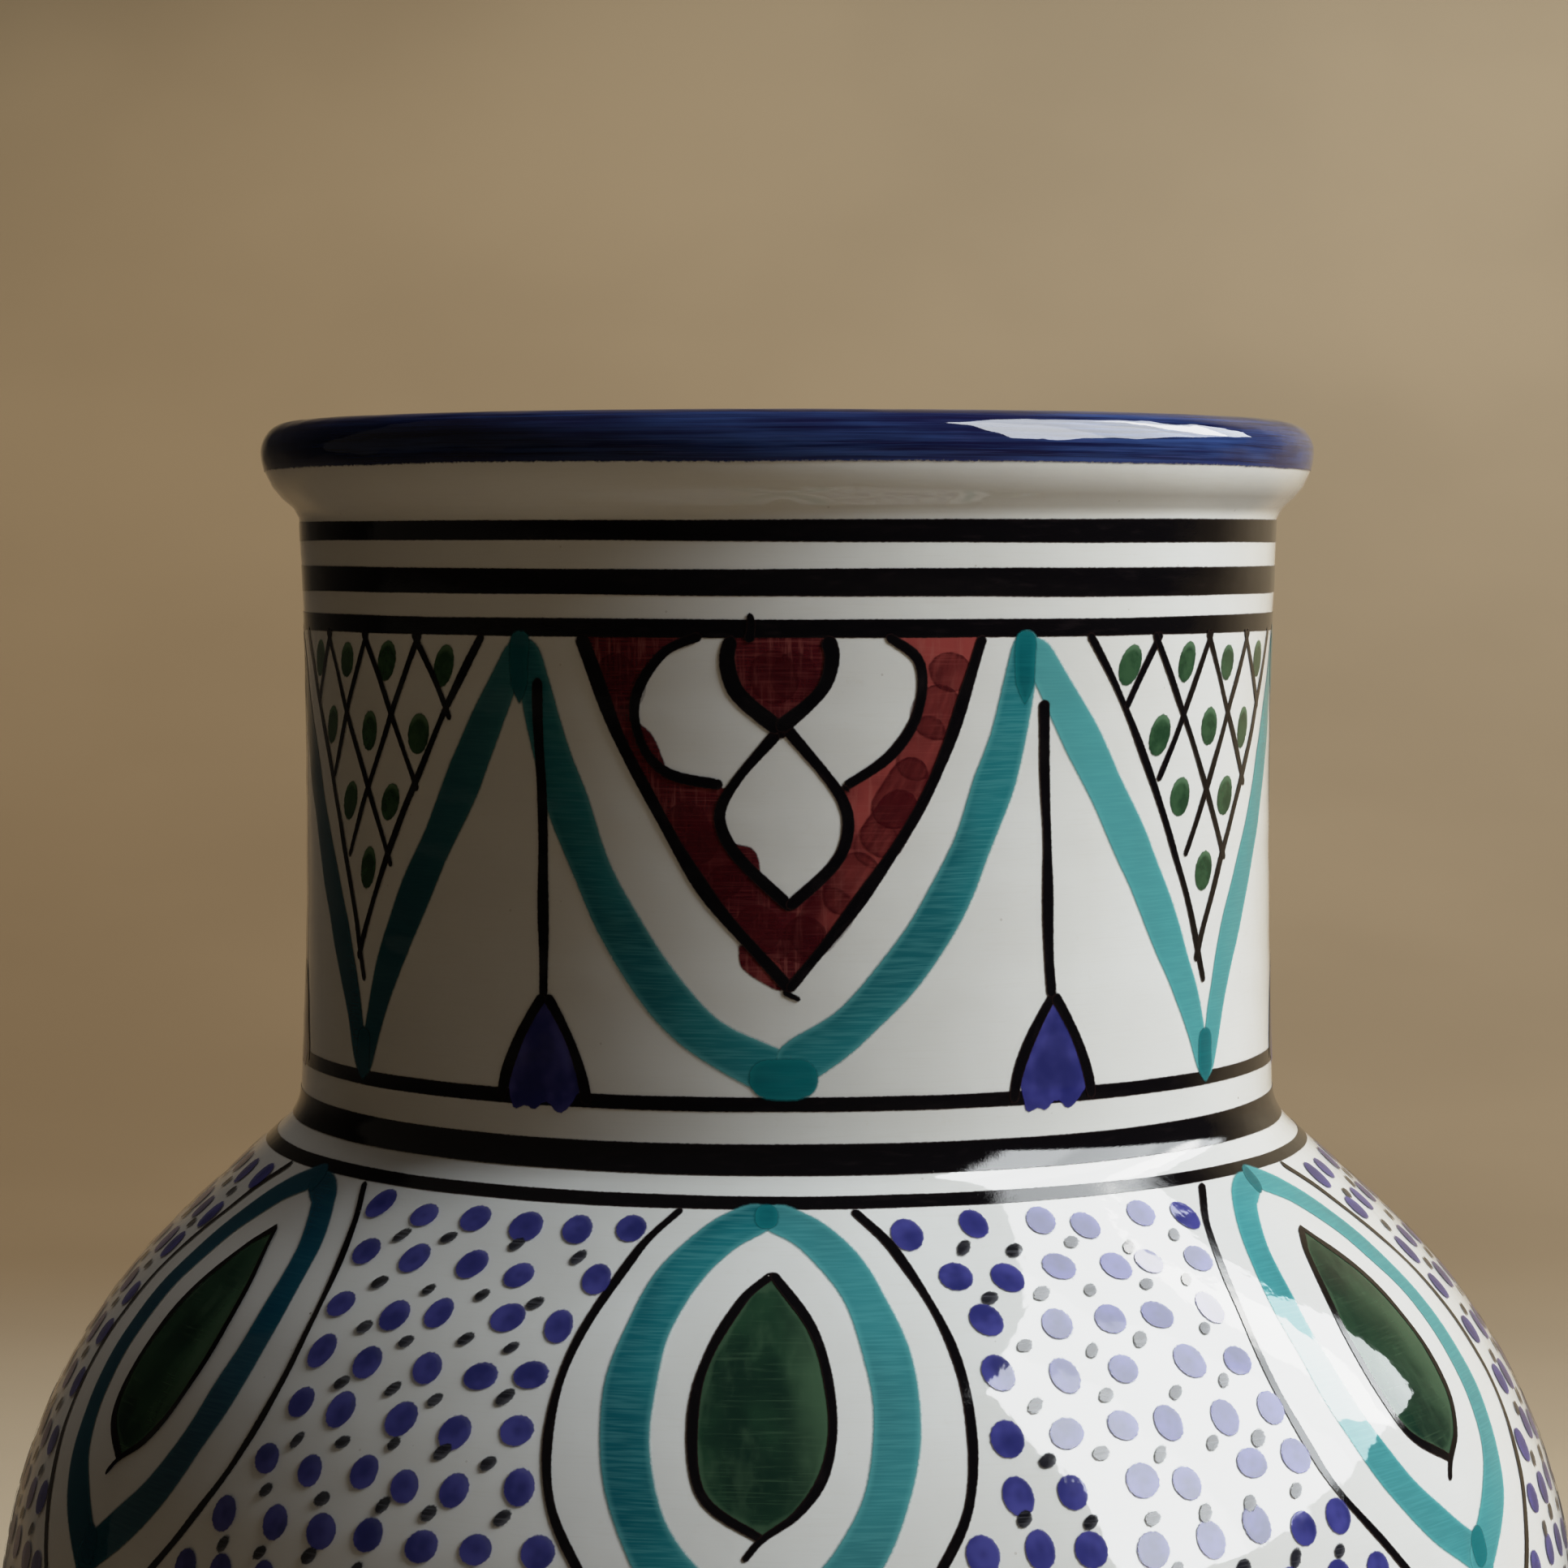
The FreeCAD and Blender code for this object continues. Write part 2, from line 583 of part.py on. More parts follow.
foot_ring()
lower_bowl()
shoulder()
neck()
rim()
foot_slip()
belly_slip()
neck_slip()
rim_slip()
outer_glaze()
inner_glaze()
rim_glaze()
neck_stripe("collar_line_upper", "collar_a_low", "collar_a_top")
neck_stripe("collar_band", "collar_b_low", "collar_b_top")
neck_stripe("collar_line_lower", "collar_c_low", "collar_c_top")
neck_stripe("neck_base_line", "base_line_low", "base_line_top")
corner_band()
shoulder_line()
belly_stripe("belly_line_upper", "belly_upper_low", "belly_upper_top")
belly_stripe("belly_band", "belly_band_low", "belly_band_top")
belly_stripe("belly_line_lower", "belly_lower_low", "belly_lower_top")
belly_stripe("hem_line", "hem_line_low", "hem_line_top")
belly_stripe("foot_band", "foot_height", "foot_blue_top")
doc.recompute()

bodies = [o for o in doc.Objects if o.TypeId == "PartDesign::Body"]
for item in doc.Objects:
    if {"Invalid", "Error"} & set(item.State):
        raise RuntimeError(f"{item.Name} failed: {item.State}")
for body in bodies:
    if body.Shape.isNull() or not body.Shape.isValid() or body.Shape.Volume <= 0:
        raise RuntimeError(f"{body.Label} has no valid solid")

os.makedirs("parts", exist_ok=True)
for body in bodies:
    body.Shape.exportStep(f"parts/{body.Label}.step")
    print(f"{body.Label}: {len(body.Shape.Solids)} solid, {body.Shape.Volume / 1000:.2f} cm3")
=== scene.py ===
"""The looks of a hand-painted pottery vase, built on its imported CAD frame. Metres, +Z up.

The wall's outline is read from the CAD glaze, and everything painted is placed on it by an angle (degrees
round the axis, 0 towards the camera, + to its right) and a height. The painted pattern is real geometry: each
brush stroke, fill and dot is a thin closed film on the glaze, with brush coordinates for the materials.
"""

import math
import random

import bpy
import numpy as np
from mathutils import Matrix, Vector
from mathutils.geometry import delaunay_2d_cdt


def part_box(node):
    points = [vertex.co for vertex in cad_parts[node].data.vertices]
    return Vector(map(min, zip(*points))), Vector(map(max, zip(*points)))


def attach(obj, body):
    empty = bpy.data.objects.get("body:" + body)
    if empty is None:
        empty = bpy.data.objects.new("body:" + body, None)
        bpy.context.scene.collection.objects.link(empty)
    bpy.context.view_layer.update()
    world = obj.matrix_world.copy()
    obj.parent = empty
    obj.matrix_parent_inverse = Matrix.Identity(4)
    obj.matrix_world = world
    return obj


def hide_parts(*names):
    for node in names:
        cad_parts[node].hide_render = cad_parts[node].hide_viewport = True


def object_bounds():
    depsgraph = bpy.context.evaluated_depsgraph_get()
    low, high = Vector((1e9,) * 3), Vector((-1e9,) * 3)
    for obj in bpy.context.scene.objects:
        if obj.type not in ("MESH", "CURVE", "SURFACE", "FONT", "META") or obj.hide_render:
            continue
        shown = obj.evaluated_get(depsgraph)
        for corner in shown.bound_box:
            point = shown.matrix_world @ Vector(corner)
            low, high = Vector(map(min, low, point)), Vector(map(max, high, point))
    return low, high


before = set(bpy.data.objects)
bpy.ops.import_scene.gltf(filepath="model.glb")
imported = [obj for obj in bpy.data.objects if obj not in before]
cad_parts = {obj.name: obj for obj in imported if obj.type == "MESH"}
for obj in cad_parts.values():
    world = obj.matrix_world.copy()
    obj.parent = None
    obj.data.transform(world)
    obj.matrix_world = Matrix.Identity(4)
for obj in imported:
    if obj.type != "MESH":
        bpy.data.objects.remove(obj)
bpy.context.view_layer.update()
rng = random.Random(11)

MM = 0.001
TURN = 360.0


# ---------------------------------------------------------------- the wall, read from the CAD glaze


def section(node):
    """A turned CAD solid's half section: its corners and edges in the XZ plane, as (radius, height) in mm."""
    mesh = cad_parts[node].data
    corners = {
        v.index: (v.co.x / MM, v.co.z / MM)
        for v in mesh.vertices
        if abs(v.co.y) < 1e-7 and v.co.x > -1e-7
    }
    in_section = [e.vertices for e in mesh.edges if all(i in corners for i in e.vertices)]
    edges = [[corners[i] for i in ends] for ends in in_section]
    points = sorted({(round(r, 3), round(z, 3)) for r, z in corners.values()})
    return np.array(points), np.array(edges)


CLAY_EDGES = np.concatenate([section(n)[1] for n in ("lower_bowl", "shoulder", "neck", "rim")])


ON_THE_CLAY = 0.3


def gap_to_clay(point):
    """Distance from a section point to the clay's section."""
    start, end = CLAY_EDGES[:, 0], CLAY_EDGES[:, 1]
    along = end - start
    share = ((point - start) * along).sum(1) / np.maximum((along**2).sum(1), 1e-12)
    nearest = start + np.clip(share, 0, 1)[:, None] * along
    return np.hypot(*(nearest - point).T).min()


def exposed(node, order):
    """The corners of a glaze coat's outer side, in the given order."""
    points = [p for p in section(node)[0] if gap_to_clay(p) > ON_THE_CLAY]
    return sorted((tuple(p) for p in points), key=order)


def round_lip(point):
    """The angle of a lip point, seen from the middle of the lip."""
    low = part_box("rim_glaze")[0].z / MM
    radii = [p[0] for p in section("rim_glaze")[0]]
    return math.atan2(point[1] - low, point[0] - (min(radii) + max(radii)) / 2)


def hermite(start, leave, end, arrive, t):
    """A cubic from start to end with given slopes there, at t from 0 to 1."""
    return (
        (2 * t**3 - 3 * t**2 + 1) * start
        + (t**3 - 2 * t**2 + t) * leave
        + (3 * t**2 - 2 * t**3) * end
        + (t**3 - t**2) * arrive
    )


def smooth(points, step, corner=25.0):
    """A smooth curve through section points that keeps its sharp corners, as points step apart."""
    points = np.array(points, float)
    chords = np.diff(points, axis=0)
    lengths = np.hypot(*chords.T)
    ways = chords / lengths[:, None]
    turns = np.degrees(np.arccos(np.clip((ways[:-1] * ways[1:]).sum(1), -1, 1)))
    leave, arrive = ways.copy(), ways.copy()
    for i, turn in enumerate(turns):
        if turn < corner:
            shared = ways[i] * lengths[i] + ways[i + 1] * lengths[i + 1]
            leave[i + 1] = arrive[i] = shared / np.hypot(*shared)
    dense = []
    for i, length in enumerate(lengths):
        t = np.linspace(0, 1, max(int(length / step), 1), endpoint=False)[:, None]
        dense.append(hermite(points[i], leave[i] * length, points[i + 1], arrive[i] * length, t))
    return np.concatenate(dense + [points[-1:]])


def soften(path, reach):
    """Rounds a path's corners over a few points either side, as a melted glaze does. Its ends stay put."""
    weights = np.exp(-0.5 * (np.arange(-2 * reach, 2 * reach + 1) / reach) ** 2)
    weights /= weights.sum()
    before = 2 * path[0] - path[2 * reach : 0 : -1]
    after = 2 * path[-1] - path[-2 : -2 * reach - 2 : -1]
    padded = np.concatenate([before, path, after])
    return np.stack([np.convolve(padded[:, k], weights, "valid") for k in (0, 1)], axis=1)


OUTSIDE = exposed("outer_glaze", lambda p: p[1])
LIP = exposed("rim_glaze", round_lip)[1:]
INSIDE = exposed("inner_glaze", lambda p: (-p[1], -p[0]))[1:]
SKIN_STEP = 0.25
SKIN_PATH = soften(smooth(OUTSIDE + LIP + INSIDE, SKIN_STEP), reach=2)
SKIN_LENGTH = np.concatenate([[0], np.cumsum(np.hypot(*np.diff(SKIN_PATH, axis=0).T))])
SKIN_WAY = np.gradient(SKIN_PATH, axis=0)
SKIN_WAY /= np.maximum(np.hypot(*SKIN_WAY.T), 1e-9)[:, None]

# The outside, where a height names one place on the wall, ends just above the cobalt's edge on the lip.
OUTER = slice(0, int(np.argmax(SKIN_PATH[:, 1] > OUTSIDE[-1][1] + 1)))
WALL_R, WALL_Z, WALL_S = SKIN_PATH[OUTER, 0], SKIN_PATH[OUTER, 1], SKIN_LENGTH[OUTER]
STEEPNESS = np.gradient(WALL_S, WALL_Z)

# Slight unevenness of a hand-thrown wall: (height of the wave in mm, waves round the pot, mm per wave up it)
WAVES = ((0.12, 2, 260.0), (0.06, 3, 90.0), (0.04, 5, 41.0), (0.018, 1, 8.5), (0.010, 2, 5.2))


def unevenness(angle, height):
    """How far the wall stands out from the true form, in mm."""
    total = 0.0
    for i, (size, lobes, pitch) in enumerate(WAVES):
        total = total + size * np.sin(lobes * np.radians(angle) + 2 * math.pi * height / pitch + 1.7 * i)
    return total


def radius(height):
    return np.interp(height, WALL_Z, WALL_R)


def arc_length(height):
    """Distance along the wall's outline from the foot, in mm."""
    return np.interp(height, WALL_Z, WALL_S)


def height_at(length):
    return np.interp(length, WALL_S, WALL_Z)


def on_skin(angle, length, lift):
    """Points in metres, at an angle and a distance along the outline, lifted off the glaze by some mm."""
    r, z = (np.interp(length, SKIN_LENGTH, SKIN_PATH[:, k]) for k in (0, 1))
    way_r, way_z = (np.interp(length, SKIN_LENGTH, SKIN_WAY[:, k]) for k in (0, 1))
    r = r + unevenness(angle, z) + lift * way_z
    turn = np.radians(angle)
    return np.stack([r * np.sin(turn), -r * np.cos(turn), z - lift * way_r], axis=-1) * MM


# ---------------------------------------------------------------- meshes


def mesh_object(name, points, faces, sharp_angle=35.0):
    mesh = bpy.data.meshes.new(name)
    mesh.from_pydata([tuple(p) for p in points], [], faces)
    mesh.validate()
    mesh.update()
    mesh.shade_smooth()
    mesh.set_sharp_from_angle(angle=math.radians(sharp_angle))
    piece = bpy.data.objects.new(name, mesh)
    bpy.context.scene.collection.objects.link(piece)
    return piece


def finish_piece(piece, material, slot, *nodes):
    """Gives a piece its material and ties it to the frame."""
    piece.data.materials.append(material)
    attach(piece, "root")
    if nodes:
        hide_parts(*nodes)
    return piece


def turned_skin(name, path, segments):
    """A closed solid turned from a closed half section whose first and last points are on the axis."""
    angles = np.arange(segments) * TURN / segments
    rings = path[1:-1]
    r = rings[:, 0][:, None] + unevenness(angles[None, :], rings[:, 1][:, None])
    turn = np.radians(angles)[None, :]
    z = np.repeat(rings[:, 1][:, None], segments, axis=1)
    points = np.stack([r * np.sin(turn), -r * np.cos(turn), z], axis=-1).reshape(-1, 3)
    poles = [[0, 0, path[0][1]], [0, 0, path[-1][1]]]
    points = np.concatenate([points, poles]) * MM
    first, last = len(points) - 2, len(points) - 1
    faces = []
    for i in range(len(rings) - 1):
        for j in range(segments):
            k = (j + 1) % segments
            a, b = i * segments, (i + 1) * segments
            faces.append((a + j, b + j, b + k, a + k))
    end = (len(rings) - 1) * segments
    for j in range(segments):
        k = (j + 1) % segments
        faces.append((first, j, k))
        faces.append((last, end + k, end + j))
    return mesh_object(name, points, faces, 60.0)


class Film:
    """Thin closed films of paint on the wall, gathered into one piece.

    Each point keeps its brush coordinates (mm along the stroke, mm across it, a number of the stroke's own)
    and its distance in mm from the film's edge."""

    UNDER = -0.12
    LEVELS = 5
    LEVEL_STEP = 0.004

    def __init__(self, lift):
        self.lift = lift
        self.films = 0
        self.count = 0
        self.points, self.faces, self.brush, self.edge = [], [], [], []

    def add(self, angle, length, brush, edge, faces):
        """One film from its top, closed by its copy just under the glaze and by walls round its border."""
        lift = self.lift + self.LEVEL_STEP * (self.films % self.LEVELS)
        n = len(angle)
        sides = {(f[k], f[(k + 1) % len(f)]) for f in faces for k in range(len(f))}
        border = sorted(s for s in sides if (s[1], s[0]) not in sides)
        low = [tuple(n + i for i in reversed(f)) for f in faces]
        walls = [(b, a, n + a, n + b) for a, b in border]
        self.points += [on_skin(angle, length, lift), on_skin(angle, length, self.UNDER)]
        self.faces += [tuple(self.count + i for i in f) for f in [*faces, *low, *walls]]
        self.brush += [brush, brush]
        self.edge += [edge, np.zeros(n)]
        self.count += 2 * n
        self.films += 1

    def build(self, name, material, slot, *nodes):
        piece = mesh_object(name, np.concatenate(self.points), self.faces)
        brush = piece.data.attributes.new("brush", "FLOAT_VECTOR", "POINT")
        brush.data.foreach_set("vector", np.concatenate(self.brush).astype(np.float32).ravel())
        edge = piece.data.attributes.new("edge", "FLOAT", "POINT")
        edge.data.foreach_set("value", np.concatenate(self.edge).astype(np.float32))
        return finish_piece(piece, material, slot, *nodes)


def grid_faces(rows, columns):
    """Quads of a grid of points, row by row, facing outwards when rows run up and columns run to the left."""
    return [
        (i * columns + j, (i + 1) * columns + j, (i + 1) * columns + j + 1, i * columns + j + 1)
        for i in range(rows - 1)
        for j in range(columns - 1)
    ]


# ---------------------------------------------------------------- brushwork

PATH_STEP = 0.12
ROW_STEP = 0.7
RIM_WIDTH = 0.3
DOT_CLOSES = 5.5


def flat(points):
    """Wall points (angle, height) laid out in mm."""
    points = np.asarray(points, float)
    return np.stack([np.radians(points[:, 0]) * radius(points[:, 1]), arc_length(points[:, 1])], axis=1)


def walked(points):
    """Distance along a line of flat points."""
    return np.concatenate([[0], np.cumsum(np.hypot(*np.diff(points, axis=0).T))])


def trace(points, step=PATH_STEP):
    """A smooth path through a few wall points, as closely spaced (angle, height)."""
    points = np.asarray(points, float)
    at = walked(flat(points))
    slopes = np.empty_like(points)
    slopes[0] = (points[1] - points[0]) / (at[1] - at[0])
    slopes[-1] = (points[-1] - points[-2]) / (at[-1] - at[-2])
    slopes[1:-1] = (points[2:] - points[:-2]) / (at[2:] - at[:-2])[:, None]
    here = np.linspace(0, at[-1], max(int(at[-1] / step), 3))
    i = np.clip(np.searchsorted(at, here, "right") - 1, 0, len(at) - 2)
    span = (at[i + 1] - at[i])[:, None]
    t = (here - at[i])[:, None] / span
    return hermite(points[i], slopes[i] * span, points[i + 1], slopes[i + 1] * span, t)


def waver(length, size, pitch):
    """A hand's smooth wandering along a stroke: a few sine waves of random phase."""
    phases = [rng.uniform(0, 2 * math.pi) for _ in range(3)]
    wave = sum(np.sin(2 * math.pi * length / (pitch * (1 + 0.6 * k)) + p) for k, p in enumerate(phases))
    return size * wave / 2


def moved(angle, height, right, up):
    """Wall points moved over the surface, by mm to the right and mm up the wall."""
    return angle + np.degrees(right / radius(height)), height + up / np.interp(height, WALL_Z, STEEPNESS)


def stroke(film, points, width, columns=2, steady=1.0, start=1.0, end=1.0, own=None):
    """One brush stroke with round ends.

    start and end are the shares of its width that it has there. own says how thin its paint is."""
    path = trace(points)
    plan = flat(path)
    along = walked(plan)
    total, half = along[-1], width / 2
    cap = half * (1 - np.cos(np.radians(np.arange(0, 90, 18))))
    middle = np.arange(half, total - half, ROW_STEP) if total > width else [total / 2]
    rows = np.unique(np.clip(np.concatenate([cap, middle, total - cap]), 0, total).round(3))
    angle, height = (np.interp(rows, along, path[:, k])[:, None] for k in (0, 1))
    way = np.gradient(plan, axis=0)
    way = np.stack([np.interp(rows, along, way[:, k]) for k in (0, 1)], axis=1)
    way = (way / np.hypot(*way.T)[:, None])[:, :, None]
    to_end = np.minimum(rows, total - rows)
    pressure = np.interp(rows, [0, total * 0.3, total * 0.7, total], [start, 1, 1, end])
    pressure = pressure * (1 + waver(rows, 0.11 * steady, 11.0))
    nose = np.sqrt(np.clip(1 - (1 - np.minimum(to_end / half, 1)) ** 2, 0, 1))
    reach = np.maximum(half * pressure * nose, 0.03)[:, None]
    across = reach * np.linspace(-1, 1, columns + 1)[None, :]
    shift = across + waver(rows, 0.12 * steady, 17.0)[:, None]
    angle, height = moved(angle, height, -way[:, 1] * shift, way[:, 0] * shift)
    edge = np.minimum(reach - np.abs(across), to_end[:, None])
    own = rng.random() if own is None else own
    brush = np.stack([rows[:, None] + 0 * across, across, 0 * across + own], axis=-1)
    faces = [tuple(reversed(f)) for f in grid_faces(*across.shape)]
    film.add(angle.ravel(), arc_length(height.ravel()), brush.reshape(-1, 3), edge.ravel(), faces)


def band(film, low, high, ragged=0.19, columns=4, segments=540):
    """A stripe all the way round, laid on the turning wheel, between two distances along the outline."""
    angle = np.arange(segments) * TURN / segments
    turns = np.radians(angle)
    edges = []
    for length in (low, high):
        wave = sum(
            rng.uniform(0.2, 1) / k**0.7 * np.sin(k * turns + rng.uniform(0, 6.3))
            for k in (1, 2, 3, 5, 9, 17, 31)
        )
        edges.append(length + ragged * wave / 1.6)
    share = np.linspace(0, 1, columns + 1)
    length = edges[0][:, None] * (1 - share) + edges[1][:, None] * share
    angle = angle[:, None] + 0 * length
    across = (share - 0.5) * (high - low) + 0 * length
    along = np.arcsin(np.sin(np.radians(angle))) * float(np.interp(low, SKIN_LENGTH, SKIN_PATH[:, 0]))
    brush = np.stack([along, across, 0 * across + rng.random()], axis=-1)
    edge = (high - low) / 2 - np.abs(across)
    m = columns + 1
    faces = [
        (i * m + j, (i + 1) % segments * m + j, (i + 1) % segments * m + j + 1, i * m + j + 1)
        for i in range(segments)
        for j in range(columns)
    ]
    film.add(angle.ravel(), length.ravel(), brush.reshape(-1, 3), edge.ravel(), faces)


def dot(film, angle, height, wide, tall, corners=16, lean=0.0):
    """A dab of the brush tip: an oval, a little uneven. lean tips it over to the right."""
    turn = 2 * math.pi * np.arange(corners) / corners
    size = 1 + waver(turn, 0.09, math.pi)
    closing = np.clip((turn - DOT_CLOSES) / (2 * math.pi - DOT_CLOSES), 0, 1)
    size = size * (1 - closing) + size[0] * closing
    x = wide / 2 * size * np.cos(turn)
    y = tall / 2 * size * np.sin(turn)
    x, y = np.append(x + lean * y, 0.0), np.append(y, 0.0)
    angles, heights = moved(angle + 0 * x, height + 0 * x, x, y)
    brush = np.column_stack([x, y, np.full(len(x), rng.random())])
    edge = np.append(np.zeros(corners), min(wide, tall) / 2)
    faces = [(k, (k + 1) % corners, corners) for k in range(corners)]
    film.add(angles, arc_length(heights), brush, edge, faces)


def inside(loop, points):
    """Which flat points lie inside a closed loop."""
    x, y = points[:, :1], points[:, 1:]
    a, b = loop.T, np.roll(loop, -1, axis=0).T
    crosses = (a[1] > y) != (b[1] > y)
    with np.errstate(divide="ignore", invalid="ignore"):
        at = a[0] + (y - a[1]) * (b[0] - a[0]) / (b[1] - a[1])
    return (crosses & (x < at)).sum(1) % 2 == 1


def edge_distance(loops, points):
    """Distance of flat points from the nearest of some closed loops."""
    nearest = np.full(len(points), np.inf)
    for loop in loops:
        way = np.roll(loop, -1, axis=0) - loop
        share = ((points[:, None] - loop) * way).sum(2) / np.maximum((way**2).sum(1), 1e-12)
        gap = points[:, None] - (loop + np.clip(share, 0, 1)[..., None] * way)
        nearest = np.minimum(nearest, np.hypot(gap[..., 0], gap[..., 1]).min(1))
    return nearest


def beside(loop, distance):
    """A closed loop's points, moved sideways."""
    way = np.roll(loop, -1, axis=0) - np.roll(loop, 1, axis=0)
    return loop + distance * np.stack([way[:, 1], -way[:, 0]], axis=1) / np.hypot(*way.T)[:, None]


def ragged_loop(loop, step, size):
    """A closed loop of flat points, step apart, whose line wanders a little in and out."""
    closed = np.concatenate([loop, loop[:1]])
    along = walked(closed)
    here = np.linspace(0, along[-1], max(int(along[-1] / step), 8), endpoint=False)
    even = np.stack([np.interp(here, along, closed[:, k]) for k in (0, 1)], axis=1)
    from_seam = np.minimum(here, along[-1] - here)
    return beside(even, (waver(here, size, 4.3) * np.minimum(from_seam / 3, 1))[:, None])


def fill(film, outline, holes=(), step=0.8, grid=1.7, ragged=0.15):
    """Paint filling a closed outline of wall points, around its holes."""
    middle, height = np.mean(outline, axis=0)
    scale = float(radius(height))

    def plan(loop):
        loop = np.asarray(loop, float)
        return np.stack([np.radians(loop[:, 0] - middle) * scale, arc_length(loop[:, 1])], axis=1)

    loops = [ragged_loop(plan(loop), step, ragged) for loop in (outline, *holes)]
    corners = np.concatenate(loops)
    edges, count = [], 0
    for loop in loops:
        edges += [(count + i, count + (i + 1) % len(loop)) for i in range(len(loop))]
        count += len(loop)
    (left, low), (right, high) = corners.min(0), corners.max(0)
    lattice = [
        (x + k % 2 * grid / 2, y)
        for k, y in enumerate(np.arange(low, high, grid))
        for x in np.arange(left, right, grid)
    ]
    lattice = np.array(lattice)
    rims = np.concatenate([beside(loop, side) for loop in loops for side in (-RIM_WIDTH, RIM_WIDTH)])

    def painted(points):
        return inside(loops[0], points) & ~np.any([inside(h, points) for h in loops[1:]] or [[False]], axis=0)

    lattice = lattice[painted(lattice) & (edge_distance(loops, lattice) > 0.45 * grid + RIM_WIDTH)]
    rims = rims[painted(rims) & (edge_distance(loops, rims) > 0.7 * RIM_WIDTH)]
    made = delaunay_2d_cdt([Vector(p) for p in np.concatenate([corners, rims, lattice])], edges, [], 0, 1e-5)
    spots = np.array([tuple(p) for p in made[0]])
    centres = np.array([spots[list(f)].mean(0) for f in made[2]])
    faces = [f for f, ok in zip(made[2], painted(centres)) if ok]
    used = sorted({i for f in faces for i in f})
    number = {old: new for new, old in enumerate(used)}
    faces = [tuple(number[i] for i in f) for f in faces]
    spots = spots[used]
    a, b, c = (spots[[f[k] for f in faces]] for k in range(3))
    turn = (b - a)[:, 0] * (c - a)[:, 1] - (b - a)[:, 1] * (c - a)[:, 0]
    faces = [f if t > 0 else tuple(reversed(f)) for f, t in zip(faces, turn)]
    brush = np.column_stack([spots[:, 1], spots[:, 0], np.full(len(spots), rng.random())])
    edge = edge_distance(loops, spots)
    film.add(middle + np.degrees(spots[:, 0] / scale), spots[:, 1], brush, edge, faces)


# ---------------------------------------------------------------- the painted pattern

LINER = 1.3
BROAD = 5.0
OUTLINE_STEP = 0.4
LIP_BLUE_INSIDE = 3.8

# The dotted ground, in mm: between dots, between rows, from the stripes to the rows, and from the outlines
DOT_SPACING = 6.1
ROW_PITCH = DOT_SPACING / 2 * 0.97
FIRST_ROW, LAST_ROW = 3.0, 2.5
CLEAR_AFTER, CLEAR_BEFORE = 3.9, 2.9

films = {
    "red_fills": Film(0.018),
    "wheel_bands": Film(0.030),
    "green_fills": Film(0.035),
    "green_dots": Film(0.035),
    "red_dabs": Film(0.048),
    "turquoise_strokes": Film(0.052),
    "blue_fills": Film(0.056),
    "cobalt_rim": Film(0.060),
    "cobalt_foot": Film(0.060),
    "turquoise_overlaps": Film(0.074),
    "black_lines": Film(0.096),
    "cobalt_dots": Film(0.120),
    "small_dots": Film(0.142),
}


class Panel:
    """Part of the wall to paint in: x is -1 to 1 across it, d is 0 to 1 down it."""

    def __init__(self, centre, half, top, low):
        self.centre, self.half, self.top, self.low = centre, half, top, low

    def at(self, points):
        return [(self.centre + self.half * x, self.top - (self.top - self.low) * d) for x, d in points]


def traced(panel, points):
    """A smooth line through a few panel points, fine enough to bound a fill."""
    return trace(panel.at(points), OUTLINE_STEP)


def stripe_edges(node):
    low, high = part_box(node)
    return low.z / MM, high.z / MM


def mirrored(points):
    return [(-x, d) for x, d in points]


def turquoise(points, thin=(0.0, 0.45), **how):
    """A broad turquoise stroke, thinned at random. Painted light and shade: strokes at the pot's right are
    paler, at its left darker.
    """
    wide = BROAD * rng.uniform(0.96, 1.05)
    where = math.radians(sum(point[0] for point in points) / len(points))
    # Painted light and shade: the stroke's paleness rises towards the pot's right and falls towards its left.
    own = min(max(rng.uniform(*thin) + 0.42 * math.sin(where), 0.0), 1.0)
    stroke(films["turquoise_strokes"], points, wide, columns=4, steady=0.45, own=own, **how)


def overlap(points, width=3.4, **how):
    """Where two turquoise strokes cross, the paint lies double and darker."""
    stroke(films["turquoise_overlaps"], points, width, columns=4, **how)


def line(points, width=LINER, **how):
    stroke(films["black_lines"], points, width, **how)


def dabs(panel, points):
    """Short overlapping touches of a loaded brush along a path."""
    path = traced(panel, points)
    along = walked(flat(path))
    at = rng.uniform(-1.5, 0.0)
    while at < along[-1] - 1:
        ends = np.interp([at, at + rng.uniform(5.0, 8.0)], along, np.arange(len(along))).round().astype(int)
        if ends[1] - ends[0] > 6:
            touch = path[[ends[0], (ends[0] + ends[1]) // 2, ends[1]]]
            side = rng.uniform(-0.35, 0.35)
            moved_touch = np.stack(moved(touch[:, 0], touch[:, 1], side, 0.0), axis=1)
            stroke(films["red_dabs"], moved_touch, rng.uniform(4.5, 5.3), columns=6, steady=0.8)
        at += rng.uniform(3.2, 4.8)


def red_slips(panel):
    """Where the red ran over its outline."""
    slips = (
        [(-0.54, 0.17), (-0.46, 0.21), (-0.41, 0.28), (-0.51, 0.24)],
        [(-0.17, 0.44), (-0.07, 0.46), (-0.05, 0.51), (-0.1, 0.51)],
        [(-0.14, 0.66), (-0.12, 0.72), (0.03, 0.77), (0.03, 0.71)],
    )
    for slip in slips:
        loop = panel.at([*slip, slip[0]])
        fill(films["red_fills"], trace(loop, OUTLINE_STEP)[:-1], step=0.4, grid=0.8, ragged=0.05)


